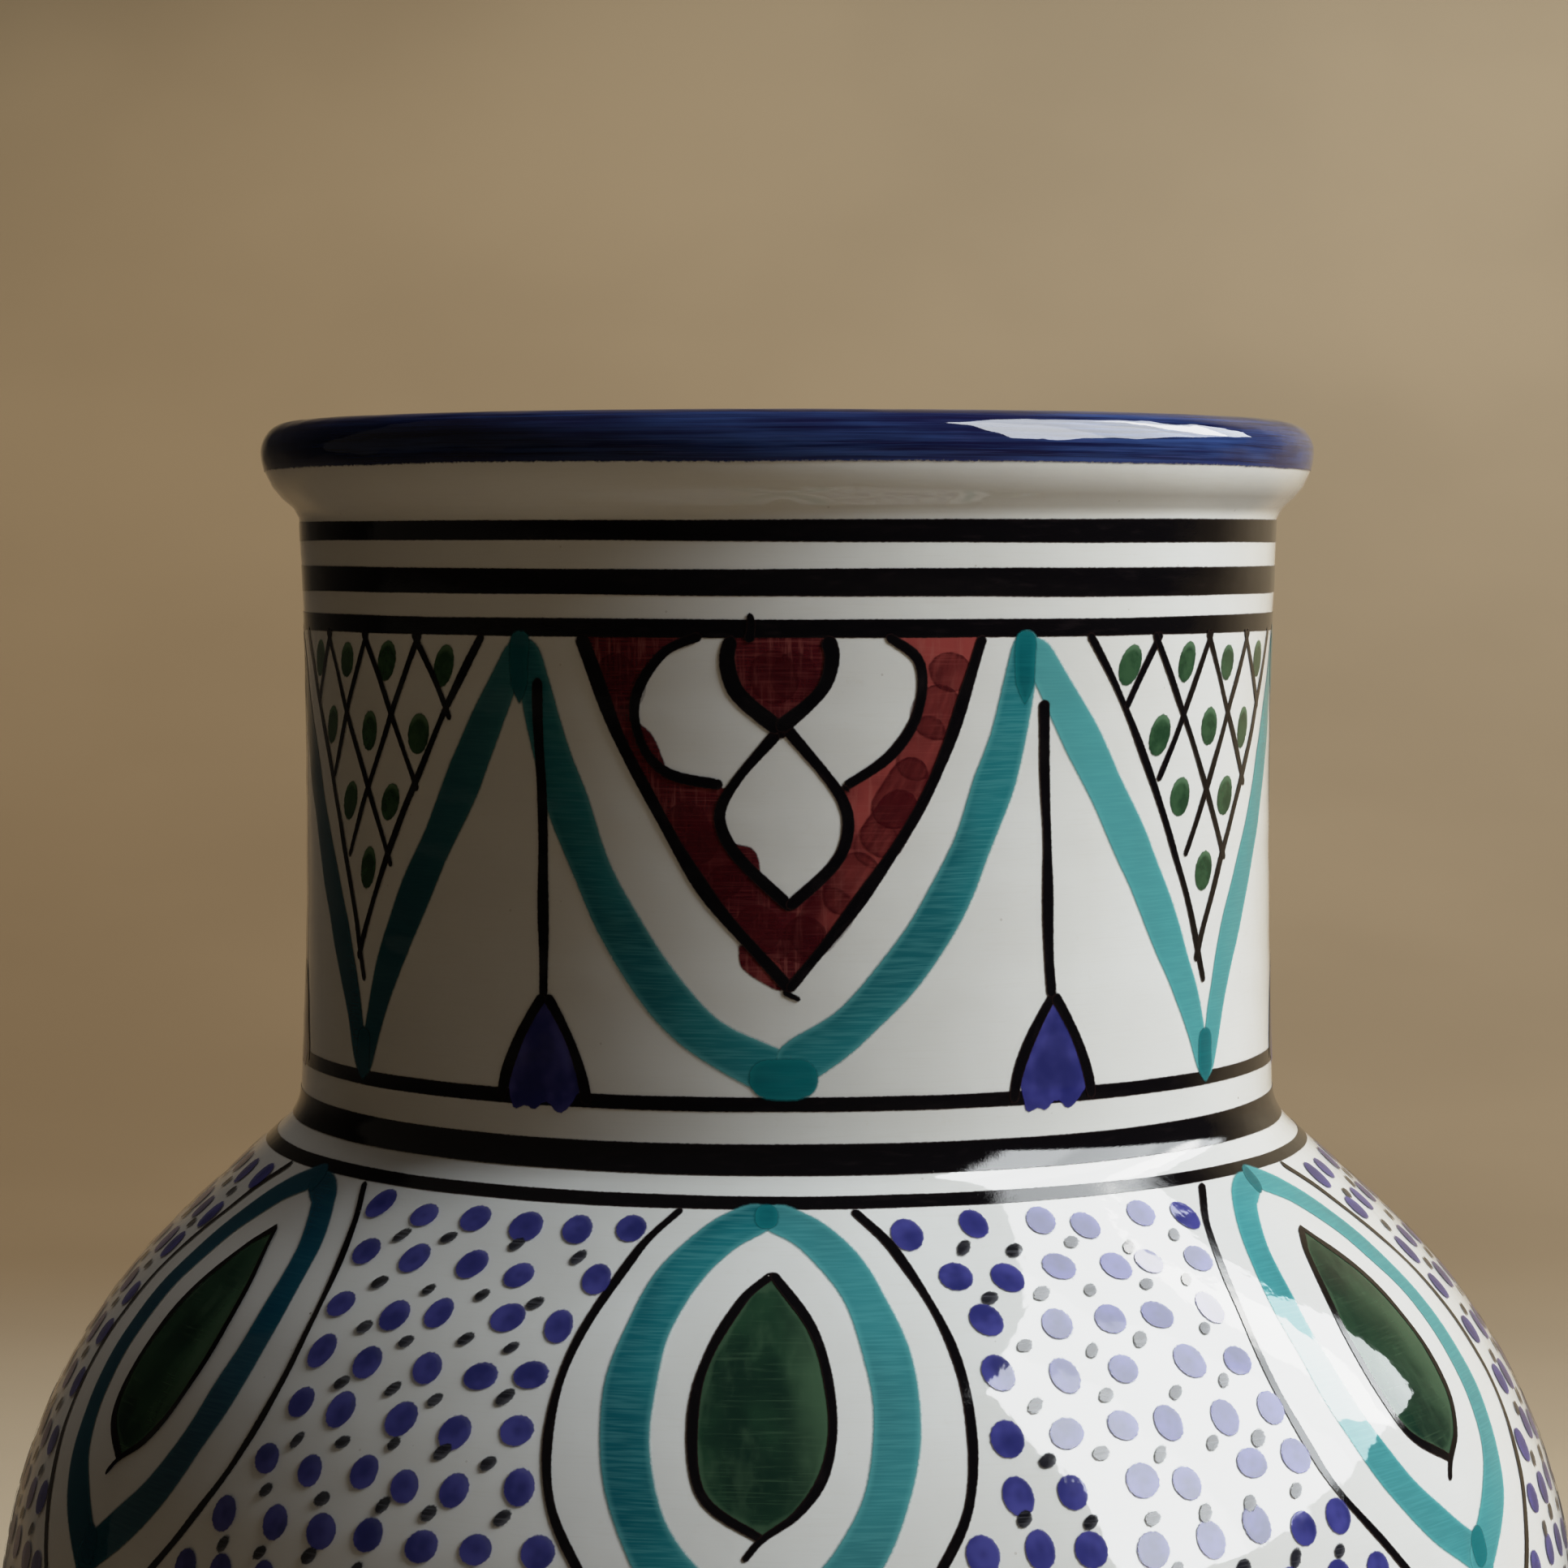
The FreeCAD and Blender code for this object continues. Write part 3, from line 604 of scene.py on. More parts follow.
LEAF_LINES = {
    "leaf_left": [(-0.76, -0.01), (-0.56, 0.25), (-0.25, 0.56), (0.07, 0.77)],
    "leaf_right": [(0.8, -0.01), (0.67, 0.23), (0.44, 0.48), (0.05, 0.77)],
    "disc_left": [(-0.16, -0.01), (-0.18, 0.05), (-0.14, 0.12), (0.03, 0.2)],
    "disc_right": [(0.2, -0.01), (0.22, 0.04), (0.18, 0.11), (0.01, 0.2)],
    "lobe_left": [(-0.27, -0.01), (-0.42, 0.03), (-0.53, 0.13), (-0.5, 0.23), (-0.4, 0.29), (-0.19, 0.32)],
    "lobe_right": [(0.42, -0.01), (0.55, 0.05), (0.55, 0.16), (0.45, 0.25), (0.26, 0.32)],
    "seed_left": [(0.01, 0.2), (-0.15, 0.32), (-0.2, 0.39), (-0.14, 0.47), (0.07, 0.59)],
    "seed_right": [(0.04, 0.19), (0.24, 0.33), (0.28, 0.4), (0.24, 0.48), (0.05, 0.59)],
}


def red_panel(panel):
    """A wide U in turquoise round a red leaf with white lobes."""
    turquoise(panel.at([(-1.0, 0.0), (-0.85, 0.3), (-0.6, 0.63), (-0.3, 0.85), (0.08, 0.97)]), start=0.75)
    turquoise(panel.at([(1.0, -0.02), (0.87, 0.3), (0.62, 0.62), (0.3, 0.84), (0.02, 0.95)]), start=0.72)
    overlap(panel.at([(-0.1, 0.96), (0.08, 0.96), (0.17, 0.95)]), 4.0)
    path = {name: traced(panel, points) for name, points in LEAF_LINES.items()}

    def lobe(side, share):
        """A white lobe: its own line, then back along the seed and the disc."""
        seed = path["seed_" + side]
        stem = seed[: int(len(seed) * share)]
        return np.concatenate([path["lobe_" + side], stem[::-1], path["disc_" + side][::-1]])

    leaf = np.concatenate([path["leaf_left"], path["leaf_right"][::-1]])
    seed = np.concatenate([path["seed_left"], path["seed_right"][::-1]])
    fill(films["red_fills"], leaf, [lobe("left", 0.33), lobe("right", 0.36), seed])
    red_slips(panel)
    dabs(panel, [(0.69, 0.03), (0.59, 0.22), (0.35, 0.48), (0.06, 0.7)])
    dabs(panel, [(-0.61, 0.03), (-0.6, 0.09), (-0.55, 0.16)])
    dabs(panel, [(-0.37, 0.36), (-0.19, 0.53), (0.05, 0.7)])
    dabs(panel, [(-0.06, 0.03), (-0.01, 0.08), (0.02, 0.14)])
    dabs(panel, [(0.11, 0.03), (0.08, 0.07), (0.04, 0.13)])
    line(panel.at(LEAF_LINES["leaf_left"]), 1.45, start=1.25)
    line(panel.at(LEAF_LINES["leaf_right"]), 1.35, end=0.9)
    line(panel.at(LEAF_LINES["disc_left"]), 1.7)
    line(panel.at(LEAF_LINES["disc_right"]), 1.7)
    line(panel.at([(0.0, 0.19), (0.03, 0.2), (0.05, 0.19)]), 1.9)
    line(panel.at([(-0.09, 0.01), (-0.08, -0.03), (-0.09, -0.06)]), 1.1, start=1.3, end=0.6)
    line(panel.at(LEAF_LINES["lobe_left"]), 1.2)
    line(panel.at(LEAF_LINES["lobe_right"]), 1.2)
    line(panel.at([(0.28, 0.32), (0.26, 0.33)]), 1.7)
    line(panel.at(LEAF_LINES["seed_left"]), 1.3)
    line(panel.at(LEAF_LINES["seed_right"]), 1.3)
    line(panel.at([(0.03, 0.77), (0.1, 0.79)]), 0.7)


LATTICE_CELL = 0.36
LATTICE_ROW = 0.158


def slanted(top, start, slope, reach):
    """A lattice line from the stripe above, leaning by slope and reaching down by reach."""
    return [(top + start, -0.01), (top + slope * reach * 0.5, reach * 0.5), (top + slope * reach, reach)]


def lattice_panel(panel):
    """A turquoise V round a hanging triangle of black lattice with green dots."""
    turquoise(panel.at([(-1.0, 0.0), (-0.52, 0.42), (-0.1, 0.83), (0.02, 1.02)]),
              thin=(0.6, 0.9), start=0.68, end=0.55)
    turquoise(panel.at([(1.0, 0.0), (0.66, 0.34), (0.2, 0.76), (0.02, 1.02)]),
              thin=(0.6, 0.9), start=0.68, end=0.55)
    overlap(panel.at([(0.03, 0.9), (0.02, 0.96), (0.02, 1.03)]), 2.9, end=0.5)
    left = [(-0.72, -0.01), (-0.47, 0.2), (-0.14, 0.55), (0.02, 0.8)]
    right = [(0.8, -0.01), (0.37, 0.35), (0.03, 0.66), (-0.04, 0.75)]
    line(panel.at(left), 1.05)
    line(panel.at(right), 1.05)
    width, depth = 1.5, 0.70
    slope = 0.74 / depth
    for i in (1, 2, 3):
        top = -0.71 + width * i / 4
        reach = depth * i / 4 + rng.uniform(-0.03, 0.003)
        line(panel.at(slanted(top, 0.03, -slope, reach)), 0.95)
        reach = depth * (4 - i) / 4 + rng.uniform(-0.01, 0.025)
        line(panel.at(slanted(top, -0.02, slope, reach)), 0.95)
    for row in range(4):
        for k in range(4 - row):
            x = -0.50 + LATTICE_CELL * (k + row / 2) + rng.uniform(-0.02, 0.02)
            d = 0.062 + LATTICE_ROW * row + rng.uniform(-0.008, 0.008)
            (angle, height), = panel.at([(x, d)])
            dot(films["green_dots"], angle, height, rng.uniform(3.1, 3.6), rng.uniform(4.0, 4.6), lean=0.22)


def pendant(centre, top, low, half):
    """A line hanging from a peak, with a blue drop standing on the stripe below."""
    panel = Panel(centre, half, top, low)
    lean = rng.uniform(0.0, 0.03)
    line(panel.at([(0.04, rng.uniform(0.05, 0.14)), (0.05 + lean / 2, 0.45), (0.06 + lean, 0.80)]), 1.3)
    middle = 0.065 + lean
    side = [(0.0, 0.79), (0.06, 0.84), (0.12, 0.9), (0.17, 0.97), (0.19, 1.03)]
    foot = [(0.16, 1.0), (0.1, 1.04), (0.06, 1.05), (0.01, 1.03),
            (-0.04, 1.05), (-0.08, 1.04), (-0.13, 1.05), (-0.16, 1.0)]
    left = panel.at([(middle - x, d) for x, d in side])
    right = panel.at([(middle + x, d) for x, d in side])
    body = panel.at([(middle + x, d) for x, d in foot])
    sides = [trace(side[:-1], OUTLINE_STEP) for side in (left, right)]
    drop = np.concatenate([sides[0][::-1], sides[1], trace(body, OUTLINE_STEP)])
    fill(films["blue_fills"], drop, step=0.5, ragged=0.10)
    line(left, 1.3)
    line(right, 1.3)


def frieze(top, low, peaks):
    """Red and lattice panels by turns between the peaks, all the way round."""
    for i, peak in enumerate(peaks):
        following = peaks[(i + 1) % len(peaks)] + (TURN if i + 1 == len(peaks) else 0)
        panel = Panel((peak + following) / 2, (following - peak) / 2, top, low)
        (lattice_panel if i % 2 == 0 else red_panel)(panel)
        tip = Panel(peak, panel.half, top, low)
        overlap(tip.at([(-0.01, -0.02), (-0.02, 0.05), (-0.02, 0.15)]), 2.7, end=0.3)
        pendant(peak + 0.8, top, low, panel.half)


HALF_MANDORLA = [(-0.07, 0.0), (0.45, 0.04), (0.85, 0.12), (1.03, 0.25),
                 (0.93, 0.4), (0.6, 0.53), (-0.14, 0.67)]
HALF_OUTLINE = [(0.86, 0.0), (1.2, 0.06), (1.5, 0.17), (1.6, 0.29),
                (1.48, 0.43), (1.2, 0.54), (0.6, 0.73), (0.0, 0.94)]


def mandorla(panel):
    """A pointed turquoise oval round a green seed, inside a black outline."""
    turquoise(panel.at(mirrored(HALF_MANDORLA)), start=0.8)
    turquoise(panel.at(HALF_MANDORLA), start=0.8)
    overlap(panel.at([(0.0, -0.01), (0.0, 0.03)]), 3.0)
    overlap(panel.at([(0.0, 0.59), (0.0, 0.66)]), 3.4)
    left = [(0.07, 0.09), (-0.19, 0.13), (-0.47, 0.24), (-0.5, 0.34), (-0.38, 0.42), (0.04, 0.48)]
    right = [(0.07, 0.09), (0.42, 0.18), (0.54, 0.29), (0.47, 0.38), (0.28, 0.44), (0.02, 0.48)]
    seed = np.concatenate([traced(panel, left), traced(panel, right)[::-1]])
    fill(films["green_fills"], seed)
    line(panel.at(left), 1.15)
    line(panel.at(right + [(-0.10, 0.51)]), 1.1, end=0.7)
    line(panel.at(mirrored(HALF_OUTLINE)), 1.1)
    line(panel.at(HALF_OUTLINE), 1.1)


def dotted_ground(panels, top, low):
    """Rows of cobalt dots between the outlines, with small black dots between them."""
    first, last = arc_length(top) - FIRST_ROW, arc_length(low) + LAST_ROW
    rows = int((first - last) / ROW_PITCH)
    widths = np.array(HALF_OUTLINE)
    for i in range(rows):
        height = float(height_at(first - i * ROW_PITCH))
        small = i % 2 == 1
        down = (top - height) / (top - low)
        clear = float(np.interp(down, widths[:, 1], widths[:, 0]))
        r = float(radius(height))
        for k, panel in enumerate(panels):
            following = panels[(k + 1) % len(panels)]
            start = panel.centre + panel.half * clear
            end = following.centre - following.half * clear + (TURN if k + 1 == len(panels) else 0)
            start += math.degrees(CLEAR_AFTER / r)
            end -= math.degrees(CLEAR_BEFORE / r)
            room = math.radians(end - start) * r
            count = max(round(room / DOT_SPACING), 1)
            for j in range(count if small else count + 1):
                place = j + 0.5 + rng.uniform(-0.14, 0.14) if small else j + rng.uniform(-0.15, 0.15)
                angle = start + (end - start) * place / count
                level = height + rng.uniform(-0.5, 0.5)
                if small:
                    wide, tall = rng.uniform(1.5, 2.1), rng.uniform(1.6, 2.2)
                    dot(films["small_dots"], angle, level, wide, tall, corners=12, lean=0.35)
                else:
                    dot(films["cobalt_dots"], angle, level, rng.uniform(3.2, 3.8), rng.uniform(3.3, 4.2))


def paint_neck():
    top, low = stripe_edges("collar_line_lower")[0], stripe_edges("neck_base_line")[1]
    frieze(top, low, [-83, -30, 27, 81, 147, 212])


def paint_shoulder():
    top, low = stripe_edges("shoulder_line")[0], stripe_edges("belly_line_upper")[1]
    centres = [-57, -2, 56, 118, 180, 241]
    panels = [Panel(c, 9.8 * rng.uniform(0.96, 1.05), top, low) for c in centres]
    for panel in panels:
        mandorla(panel)
    dotted_ground(panels, top, low)


def paint_lower_belly():
    top, low = stripe_edges("belly_line_lower")[0], stripe_edges("hem_line")[1]
    frieze(top, low, [-14.0 + 45.0 * k + rng.uniform(-1.5, 1.5) for k in range(8)])


STRIPES = ("collar_line_upper", "collar_band", "collar_line_lower", "neck_base_line", "neck_corner_band",
           "shoulder_line", "belly_line_upper", "belly_band", "belly_line_lower", "hem_line")


def stripe_lengths(node):
    return [float(arc_length(z)) for z in stripe_edges(node)]


def paint_bands():
    for node in STRIPES:
        band(films["wheel_bands"], *stripe_lengths(node))
    band(films["cobalt_foot"], *stripe_lengths("foot_band"), columns=8)
    low, top = stripe_edges("rim_glaze")
    inside_edge = SKIN_LENGTH[np.flatnonzero(SKIN_PATH[:, 1] > top - LIP_BLUE_INSIDE)[-1]]
    band(films["cobalt_rim"], float(arc_length(low)), float(inside_edge), ragged=0.3, columns=40)


# ---------------------------------------------------------------- materials


STROKE_APART = 91.0


class Shader:
    """A material's node tree around one Principled surface, with short ways to add nodes."""

    def __init__(self, name):
        self.material = bpy.data.materials.new(name)
        self.material.use_nodes = True
        self.tree = self.material.node_tree
        self.surface = self.tree.nodes["Principled BSDF"]

    def feed(self, socket, source):
        if isinstance(source, bpy.types.NodeSocket):
            self.tree.links.new(source, socket)
        else:
            socket.default_value = source

    def node(self, kind, inputs, **settings):
        made = self.tree.nodes.new(f"ShaderNode{kind}")
        for key, setting in settings.items():
            setattr(made, key, setting)
        for key, source in inputs.items():
            self.feed(made.inputs[key], source)
        return made

    def set(self, **inputs):
        for key, source in inputs.items():
            self.feed(self.surface.inputs[key.replace("_", " ")], source)

    def math(self, operation, a, b=0.0):
        return self.node("Math", {0: a, 1: b}, operation=operation).outputs[0]

    def times(self, a, b):
        return self.math("MULTIPLY", a, b)

    def ramp(self, source, low, high, out_low=0.0, out_high=1.0):
        """source from low to high becomes out_low to out_high, smoothly and no further."""
        inputs = {"Value": source, "From Min": low, "From Max": high, "To Min": out_low, "To Max": out_high}
        return self.node("MapRange", inputs, interpolation_type="SMOOTHSTEP").outputs["Result"]

    def mix(self, share, a, b, blend="MIX"):
        made = self.tree.nodes.new("ShaderNodeMix")
        made.data_type = "RGBA"
        made.blend_type = blend
        self.feed(made.inputs["Factor"], share)
        for socket, source in zip([s for s in made.inputs if s.type == "RGBA"], (a, b)):
            self.feed(socket, source)
        return next(s for s in made.outputs if s.type == "RGBA")

    def layers(self, colour, *layers):
        """colour under others, each as (other, source, low, high, its share at low, its share at high)."""
        for other, *fade in layers:
            colour = self.mix(self.ramp(*fade), colour, other)
        return colour

    def noise(self, vector, scale, detail=2.0, roughness=0.5):
        inputs = {"Vector": vector, "Scale": scale, "Detail": detail, "Roughness": roughness}
        return self.node("TexNoise", inputs).outputs["Fac"]

    def cells(self, vector, scale):
        return self.node("TexVoronoi", {"Vector": vector, "Scale": scale}).outputs

    def place(self):
        """Position on the object, in mm."""
        here = self.tree.nodes.new("ShaderNodeTexCoord").outputs["Object"]
        return self.node("VectorMath", {0: here, "Scale": 1 / MM}, operation="SCALE").outputs[0]

    def from_axis(self):
        """How far to the right of the vase's axis, in mm."""
        return self.split(self.place())[0]

    def split(self, vector):
        return self.node("SeparateXYZ", {0: vector}).outputs

    def join(self, x, y, z):
        return self.node("CombineXYZ", {0: x, 1: y, 2: z}).outputs[0]

    def stretched(self, along, across):
        """Brush coordinates scaled along and across the stroke, different on every stroke."""
        x, y, own = self.brush
        return self.join(self.times(x, along), self.times(y, across), self.times(own, STROKE_APART))

    def brushed(self, along, across, detail=2.0, roughness=0.5):
        """Noise that lies along the stroke."""
        return self.noise(self.stretched(along, across), 1.0, detail, roughness)

    def reach(self, x, y):
        """Distance from the vase's axis."""
        return self.math("SQRT", self.math("ADD", self.times(x, x), self.times(y, y)))

    @property
    def brush(self):
        attribute = self.node("Attribute", {}, attribute_name="brush")
        return self.split(attribute.outputs["Vector"])

    @property
    def edge(self):
        return self.node("Attribute", {}, attribute_name="edge").outputs["Fac"]

    def bump(self, height, distance, strength=1.0, onto=None):
        inputs = {"Height": height, "Distance": distance, "Strength": strength}
        if onto is not None:
            inputs["Normal"] = onto
        return self.node("Bump", inputs).outputs["Normal"]

    def turning_marks(self):
        """Fine lines round the pot, left by the wheel: 0 where paint has settled, 1 between."""
        x, y, z = self.split(self.place())
        lines = self.join(self.times(x, 0.22), self.times(y, 0.22), self.times(z, 5.5))
        return self.noise(lines, 1.0, 1.0, 0.5)

    def gloss(self, onto=None):
        """The clear fired glaze over everything, with the faint ripple that it has."""
        rippled = self.bump(self.noise(self.place(), 0.16, 2.0), 0.00005, 1.0, onto)
        rippled = self.bump(self.noise(self.place(), 1.1, 1.0), 0.000004, 1.0, rippled)
        self.set(Roughness=0.5, Specular_IOR_Level=0.0, Normal=rippled)
        self.set(Coat_Weight=1.0, Coat_Roughness=0.035, Coat_IOR=1.55, Coat_Normal=rippled)

    def glazed(self, colour, cover=1.0, onto=None):
        """The finished material: this colour, as thick as cover says, under the clear glaze."""
        self.gloss(onto)
        self.set(Base_Color=colour, Alpha=cover)
        return self.material


def cover(shader, softness, ragged, strongest=1.0):
    """How thickly the paint covers: it thins out at its edge, unevenly."""
    grain = shader.noise(shader.place(), 2.6, 3.0, 0.7)
    wander = shader.times(shader.math("SUBTRACT", grain, 0.5), ragged)
    distance = shader.math("ADD", shader.edge, wander)
    return shader.ramp(distance, 0.0, softness, 0.0, strongest)


def specks(shader, scale, share, largest):
    """Rare round specks, as a mask. share of the cells hold one, at most largest of a cell wide."""
    cells = shader.cells(shader.place(), scale)
    own = shader.split(cells["Color"])[0]
    size = shader.ramp(own, 1 - share, 1.0, 0.0, largest)
    return shader.math("LESS_THAN", cells["Distance"], size)


def white_glaze():
    """Warm white tin glaze, slightly clouded, with scattered pinholes and iron specks."""
    shader = Shader("white_tin_glaze")
    here = shader.place()
    colour = shader.layers(
        (0.81, 0.806, 0.79, 1),
        ((0.85, 0.853, 0.844, 1), shader.noise(here, 0.045, 3.0), 0.35, 0.68),
        ((0.75, 0.725, 0.67, 1), shader.noise(here, 0.5, 4.0, 0.65), 0.62, 0.80, 0.0, 0.30),
        ((0.755, 0.74, 0.70, 1), shader.turning_marks(), 0.5, 0.8, 0.0, 0.18),
    )
    faint = shader.times(specks(shader, 0.75, 0.12, 0.11), 0.30)
    colour = shader.mix(faint, colour, (0.36, 0.31, 0.26, 1))
    dark = shader.times(specks(shader, 0.21, 0.10, 0.045), 0.70)
    colour = shader.mix(dark, colour, (0.16, 0.12, 0.09, 1))
    return shader.glazed(colour)


def turquoise_paint(name="turquoise_paint", doubled=False):
    """Watery copper turquoise, paler at its edges and in the turning marks, with painted shade at the pot's
    left.
    """
    shader = Shader(name)
    pool = shader.brushed(0.045, 0.09, 2.0)
    deep, middle, pale = (0.003, 0.110, 0.140, 1), (0.014, 0.205, 0.240, 1), (0.130, 0.460, 0.475, 1)
    if doubled:
        deep, middle, pale = (0.002, 0.095, 0.115, 1), (0.005, 0.150, 0.175, 1), (0.014, 0.23, 0.25, 1)
    colour = shader.layers(
        middle,
        (deep, pool, 0.36, 0.66, 0.0, 0.85),
        # The stroke's own number: its random thinness, plus painted light on strokes at the pot's right.
        (pale, shader.brush[2], 0.0, 1.0, 0.0, 0.65),
        (pale, shader.turning_marks(), 0.35, 0.75, 0.0, 0.28),
        (pale, shader.edge, 0.05, 0.95, 0.60, 0.0),
        # Painted shade: towards navy at the pot's left.
        ((0.002, 0.036, 0.080, 1), shader.from_axis(), -42.0, -8.0, 0.82, 0.0),
    )
    return shader.glazed(colour, cover(shader, 0.40, 0.20, 0.96))


def black_paint():
    """Manganese black, brown where it thins out, with fine grains and a few white pinholes."""
    shader = Shader("black_paint")
    colour = shader.layers(
        (0.0030, 0.0026, 0.0038, 1),
        ((0.012, 0.0085, 0.010, 1), shader.brushed(0.35, 1.6, 3.0), 0.52, 0.80, 0.0, 0.6),
        ((0.045, 0.020, 0.018, 1), shader.edge, 0.02, 0.24, 0.50, 0.0),
    )
    pins = shader.times(specks(shader, 0.55, 0.10, 0.07), 0.6)
    colour = shader.mix(pins, colour, (0.60, 0.57, 0.52, 1))
    grain = shader.bump(shader.noise(shader.place(), 5.0, 2.0, 0.8), 0.000005)
    return shader.glazed(colour, cover(shader, 0.15, 0.16), grain)


def oxblood_paint():
    """Iron red, first coat: thin, brushed with dry streaks, paler in the turning marks; painted light pales
    its right.
    """
    shader = Shader("oxblood_paint")
    streak = shader.brushed(0.13, 1.15, 4.0, 0.7)
    cloud = shader.brushed(0.14, 0.14, 2.0)
    across = shader.brush[1]
    pooled = shader.ramp(shader.math("ABSOLUTE", across), 2.0, 8.0, 0.16, 0.0)
    # Darker at the leaf's left: partly thicker paint, partly painted shade.
    full = shader.ramp(across, -17.0, -6.0, 0.24, 0.0)
    dense = shader.math("ADD", cloud, shader.math("MAXIMUM", pooled, full))
    # Painted light: paler towards the leaf's right.
    dense = shader.math("SUBTRACT", dense, shader.ramp(across, -8.0, 16.0, 0.0, 0.26))
    colour = shader.layers(
        (0.350, 0.062, 0.055, 1),
        ((0.075, 0.005, 0.009, 1), dense, 0.25, 0.55),
        ((0.42, 0.125, 0.105, 1), streak, 0.48, 0.78, 0.0, 0.55),
        ((0.40, 0.110, 0.095, 1), shader.turning_marks(), 0.45, 0.80, 0.0, 0.24),
    )
    return shader.glazed(colour, cover(shader, 0.22, 0.25, 0.96))


def oxblood_wash():
    """Iron red, second coat: a see-through dab whose rim dried darker."""
    shader = Shader("oxblood_wash")
    streak = shader.brushed(0.3, 1.8, 3.0, 0.6)
    own = shader.brush[2]
    body = shader.ramp(own, 0.0, 1.0, 0.12, 0.60)
    rim = shader.ramp(shader.edge, 0.22, 0.60, 0.26, 0.0)
    patchy = shader.ramp(streak, 0.35, 0.75, 1.0, 0.55)
    marks = shader.ramp(shader.turning_marks(), 0.45, 0.80, 1.0, 0.70)
    strength = shader.times(shader.math("ADD", body, rim), shader.times(patchy, marks))
    colour = shader.mix(own, (0.060, 0.004, 0.008, 1), (0.095, 0.008, 0.012, 1))
    return shader.glazed(colour, shader.times(strength, cover(shader, 0.20, 0.20)))


def green_almond_paint():
    """Copper green, pooled nearly black in the middle and paler grey green towards its right-hand side."""
    shader = Shader("green_almond_paint")
    mottle = shader.brushed(0.10, 0.14, 3.0, 0.5)
    worn = shader.brushed(0.16, 0.30, 3.0, 0.6)
    thin = (0.070, 0.135, 0.075, 1)
    wander = shader.times(shader.math("SUBTRACT", mottle, 0.5), 7.0)
    to_right = shader.math("ADD", shader.brush[1], wander)
    colour = shader.layers(
        (0.007, 0.027, 0.017, 1),
        ((0.018, 0.058, 0.030, 1), mottle, 0.35, 0.65),
        (thin, to_right, 0.5, 6.5, 0.0, 0.75),
        (thin, worn, 0.50, 0.80, 0.0, 0.45),
        (thin, shader.turning_marks(), 0.50, 0.85, 0.0, 0.35),
        (thin, shader.edge, 0.55, 1.0, 0.45, 0.0),
    )
    return shader.glazed(colour, cover(shader, 0.16, 0.22, 0.97))


def green_dot_paint():
    """Brighter copper green of the small dabs, with a thin pale rim."""
    shader = Shader("green_dot_paint")
    mottle = shader.brushed(0.5, 0.5, 3.0, 0.6)
    colour = shader.layers((0.020, 0.062, 0.028, 1), ((0.042, 0.105, 0.048, 1), mottle, 0.35, 0.65))
    upper = shader.ramp(shader.brush[1], 0.4, 1.8, 0.0, 0.7)
    rim = shader.times(shader.ramp(shader.edge, 0.30, 0.70, 1.0, 0.0), upper)
    colour = shader.mix(rim, colour, (0.125, 0.235, 0.130, 1))
    return shader.glazed(colour, cover(shader, 0.16, 0.24, 0.97))


def cobalt_paint():
    """Cobalt dabs: violet blue, denser where the brush let go."""
    shader = Shader("cobalt_paint")
    own = shader.brush[2]
    blot = shader.brushed(0.30, 0.30, 2.0, 0.5)
    deep = shader.mix(own, (0.022, 0.026, 0.165, 1), (0.038, 0.040, 0.225, 1))
    colour = shader.layers(
        deep,
        ((0.070, 0.072, 0.33, 1), blot, 0.34, 0.70),
        ((0.050, 0.040, 0.30, 1), shader.edge, 0.05, 0.35, 0.30, 0.0),
        ((0.016, 0.019, 0.120, 1), shader.edge, 0.8, 2.2, 0.0, 0.55),
    )
    return shader.glazed(colour, cover(shader, 0.18, 0.22, 0.93))


def small_dot_paint():
    """Thinned black of the small dots, blue-grey towards the lower right, where it ran out."""
    shader = Shader("small_dot_paint")
    x, y, own = shader.brush
    fading = shader.math("SUBTRACT", x, y)
    colour = shader.mix(own, (0.004, 0.004, 0.006, 1), (0.018, 0.018, 0.026, 1))
    colour = shader.layers(
        colour,
        ((0.16, 0.16, 0.185, 1), fading, 0.0, 1.1, 0.0, 0.5),
        ((0.16, 0.16, 0.18, 1), shader.turning_marks(), 0.45, 0.75, 0.0, 0.35),
    )
    return shader.glazed(colour, cover(shader, 0.20, 0.3, 0.95))


def cobalt_wheel(name):
    """Cobalt laid on the turning wheel: streaks round the pot, worn through in places, with painted shade at
    the pot's left.
    """
    shader = Shader(name)
    streak = shader.brushed(0.035, 1.9, 4.0, 0.65)
    cloud = shader.brushed(0.05, 0.25, 3.0)
    fine = shader.brushed(0.10, 5.0, 2.0, 0.6)
    colour = shader.layers(
        (0.006, 0.008, 0.048, 1),
        ((0.040, 0.082, 0.265, 1), streak, 0.32, 0.68),
        ((0.010, 0.008, 0.050, 1), cloud, 0.45, 0.70, 0.0, 0.7),
        ((0.075, 0.080, 0.25, 1), fine, 0.56, 0.80, 0.0, 0.5),
        ((0.045, 0.060, 0.23, 1), shader.edge, 0.0, 0.7, 0.5, 0.0),
        # Painted shade: nearly black towards the pot's left.
        ((0.0045, 0.0045, 0.021, 1), shader.from_axis(), -60.0, 40.0, 0.72, 0.0),
    )
    wobble = shader.bump(shader.brushed(0.07, 0.24, 2.0, 0.4), 0.00048)
    wobble = shader.bump(specks(shader, 0.22, 0.30, 0.12), 0.00004, 1.0, wobble)
    return shader.glazed(colour, cover(shader, 0.25, 0.45), wobble)


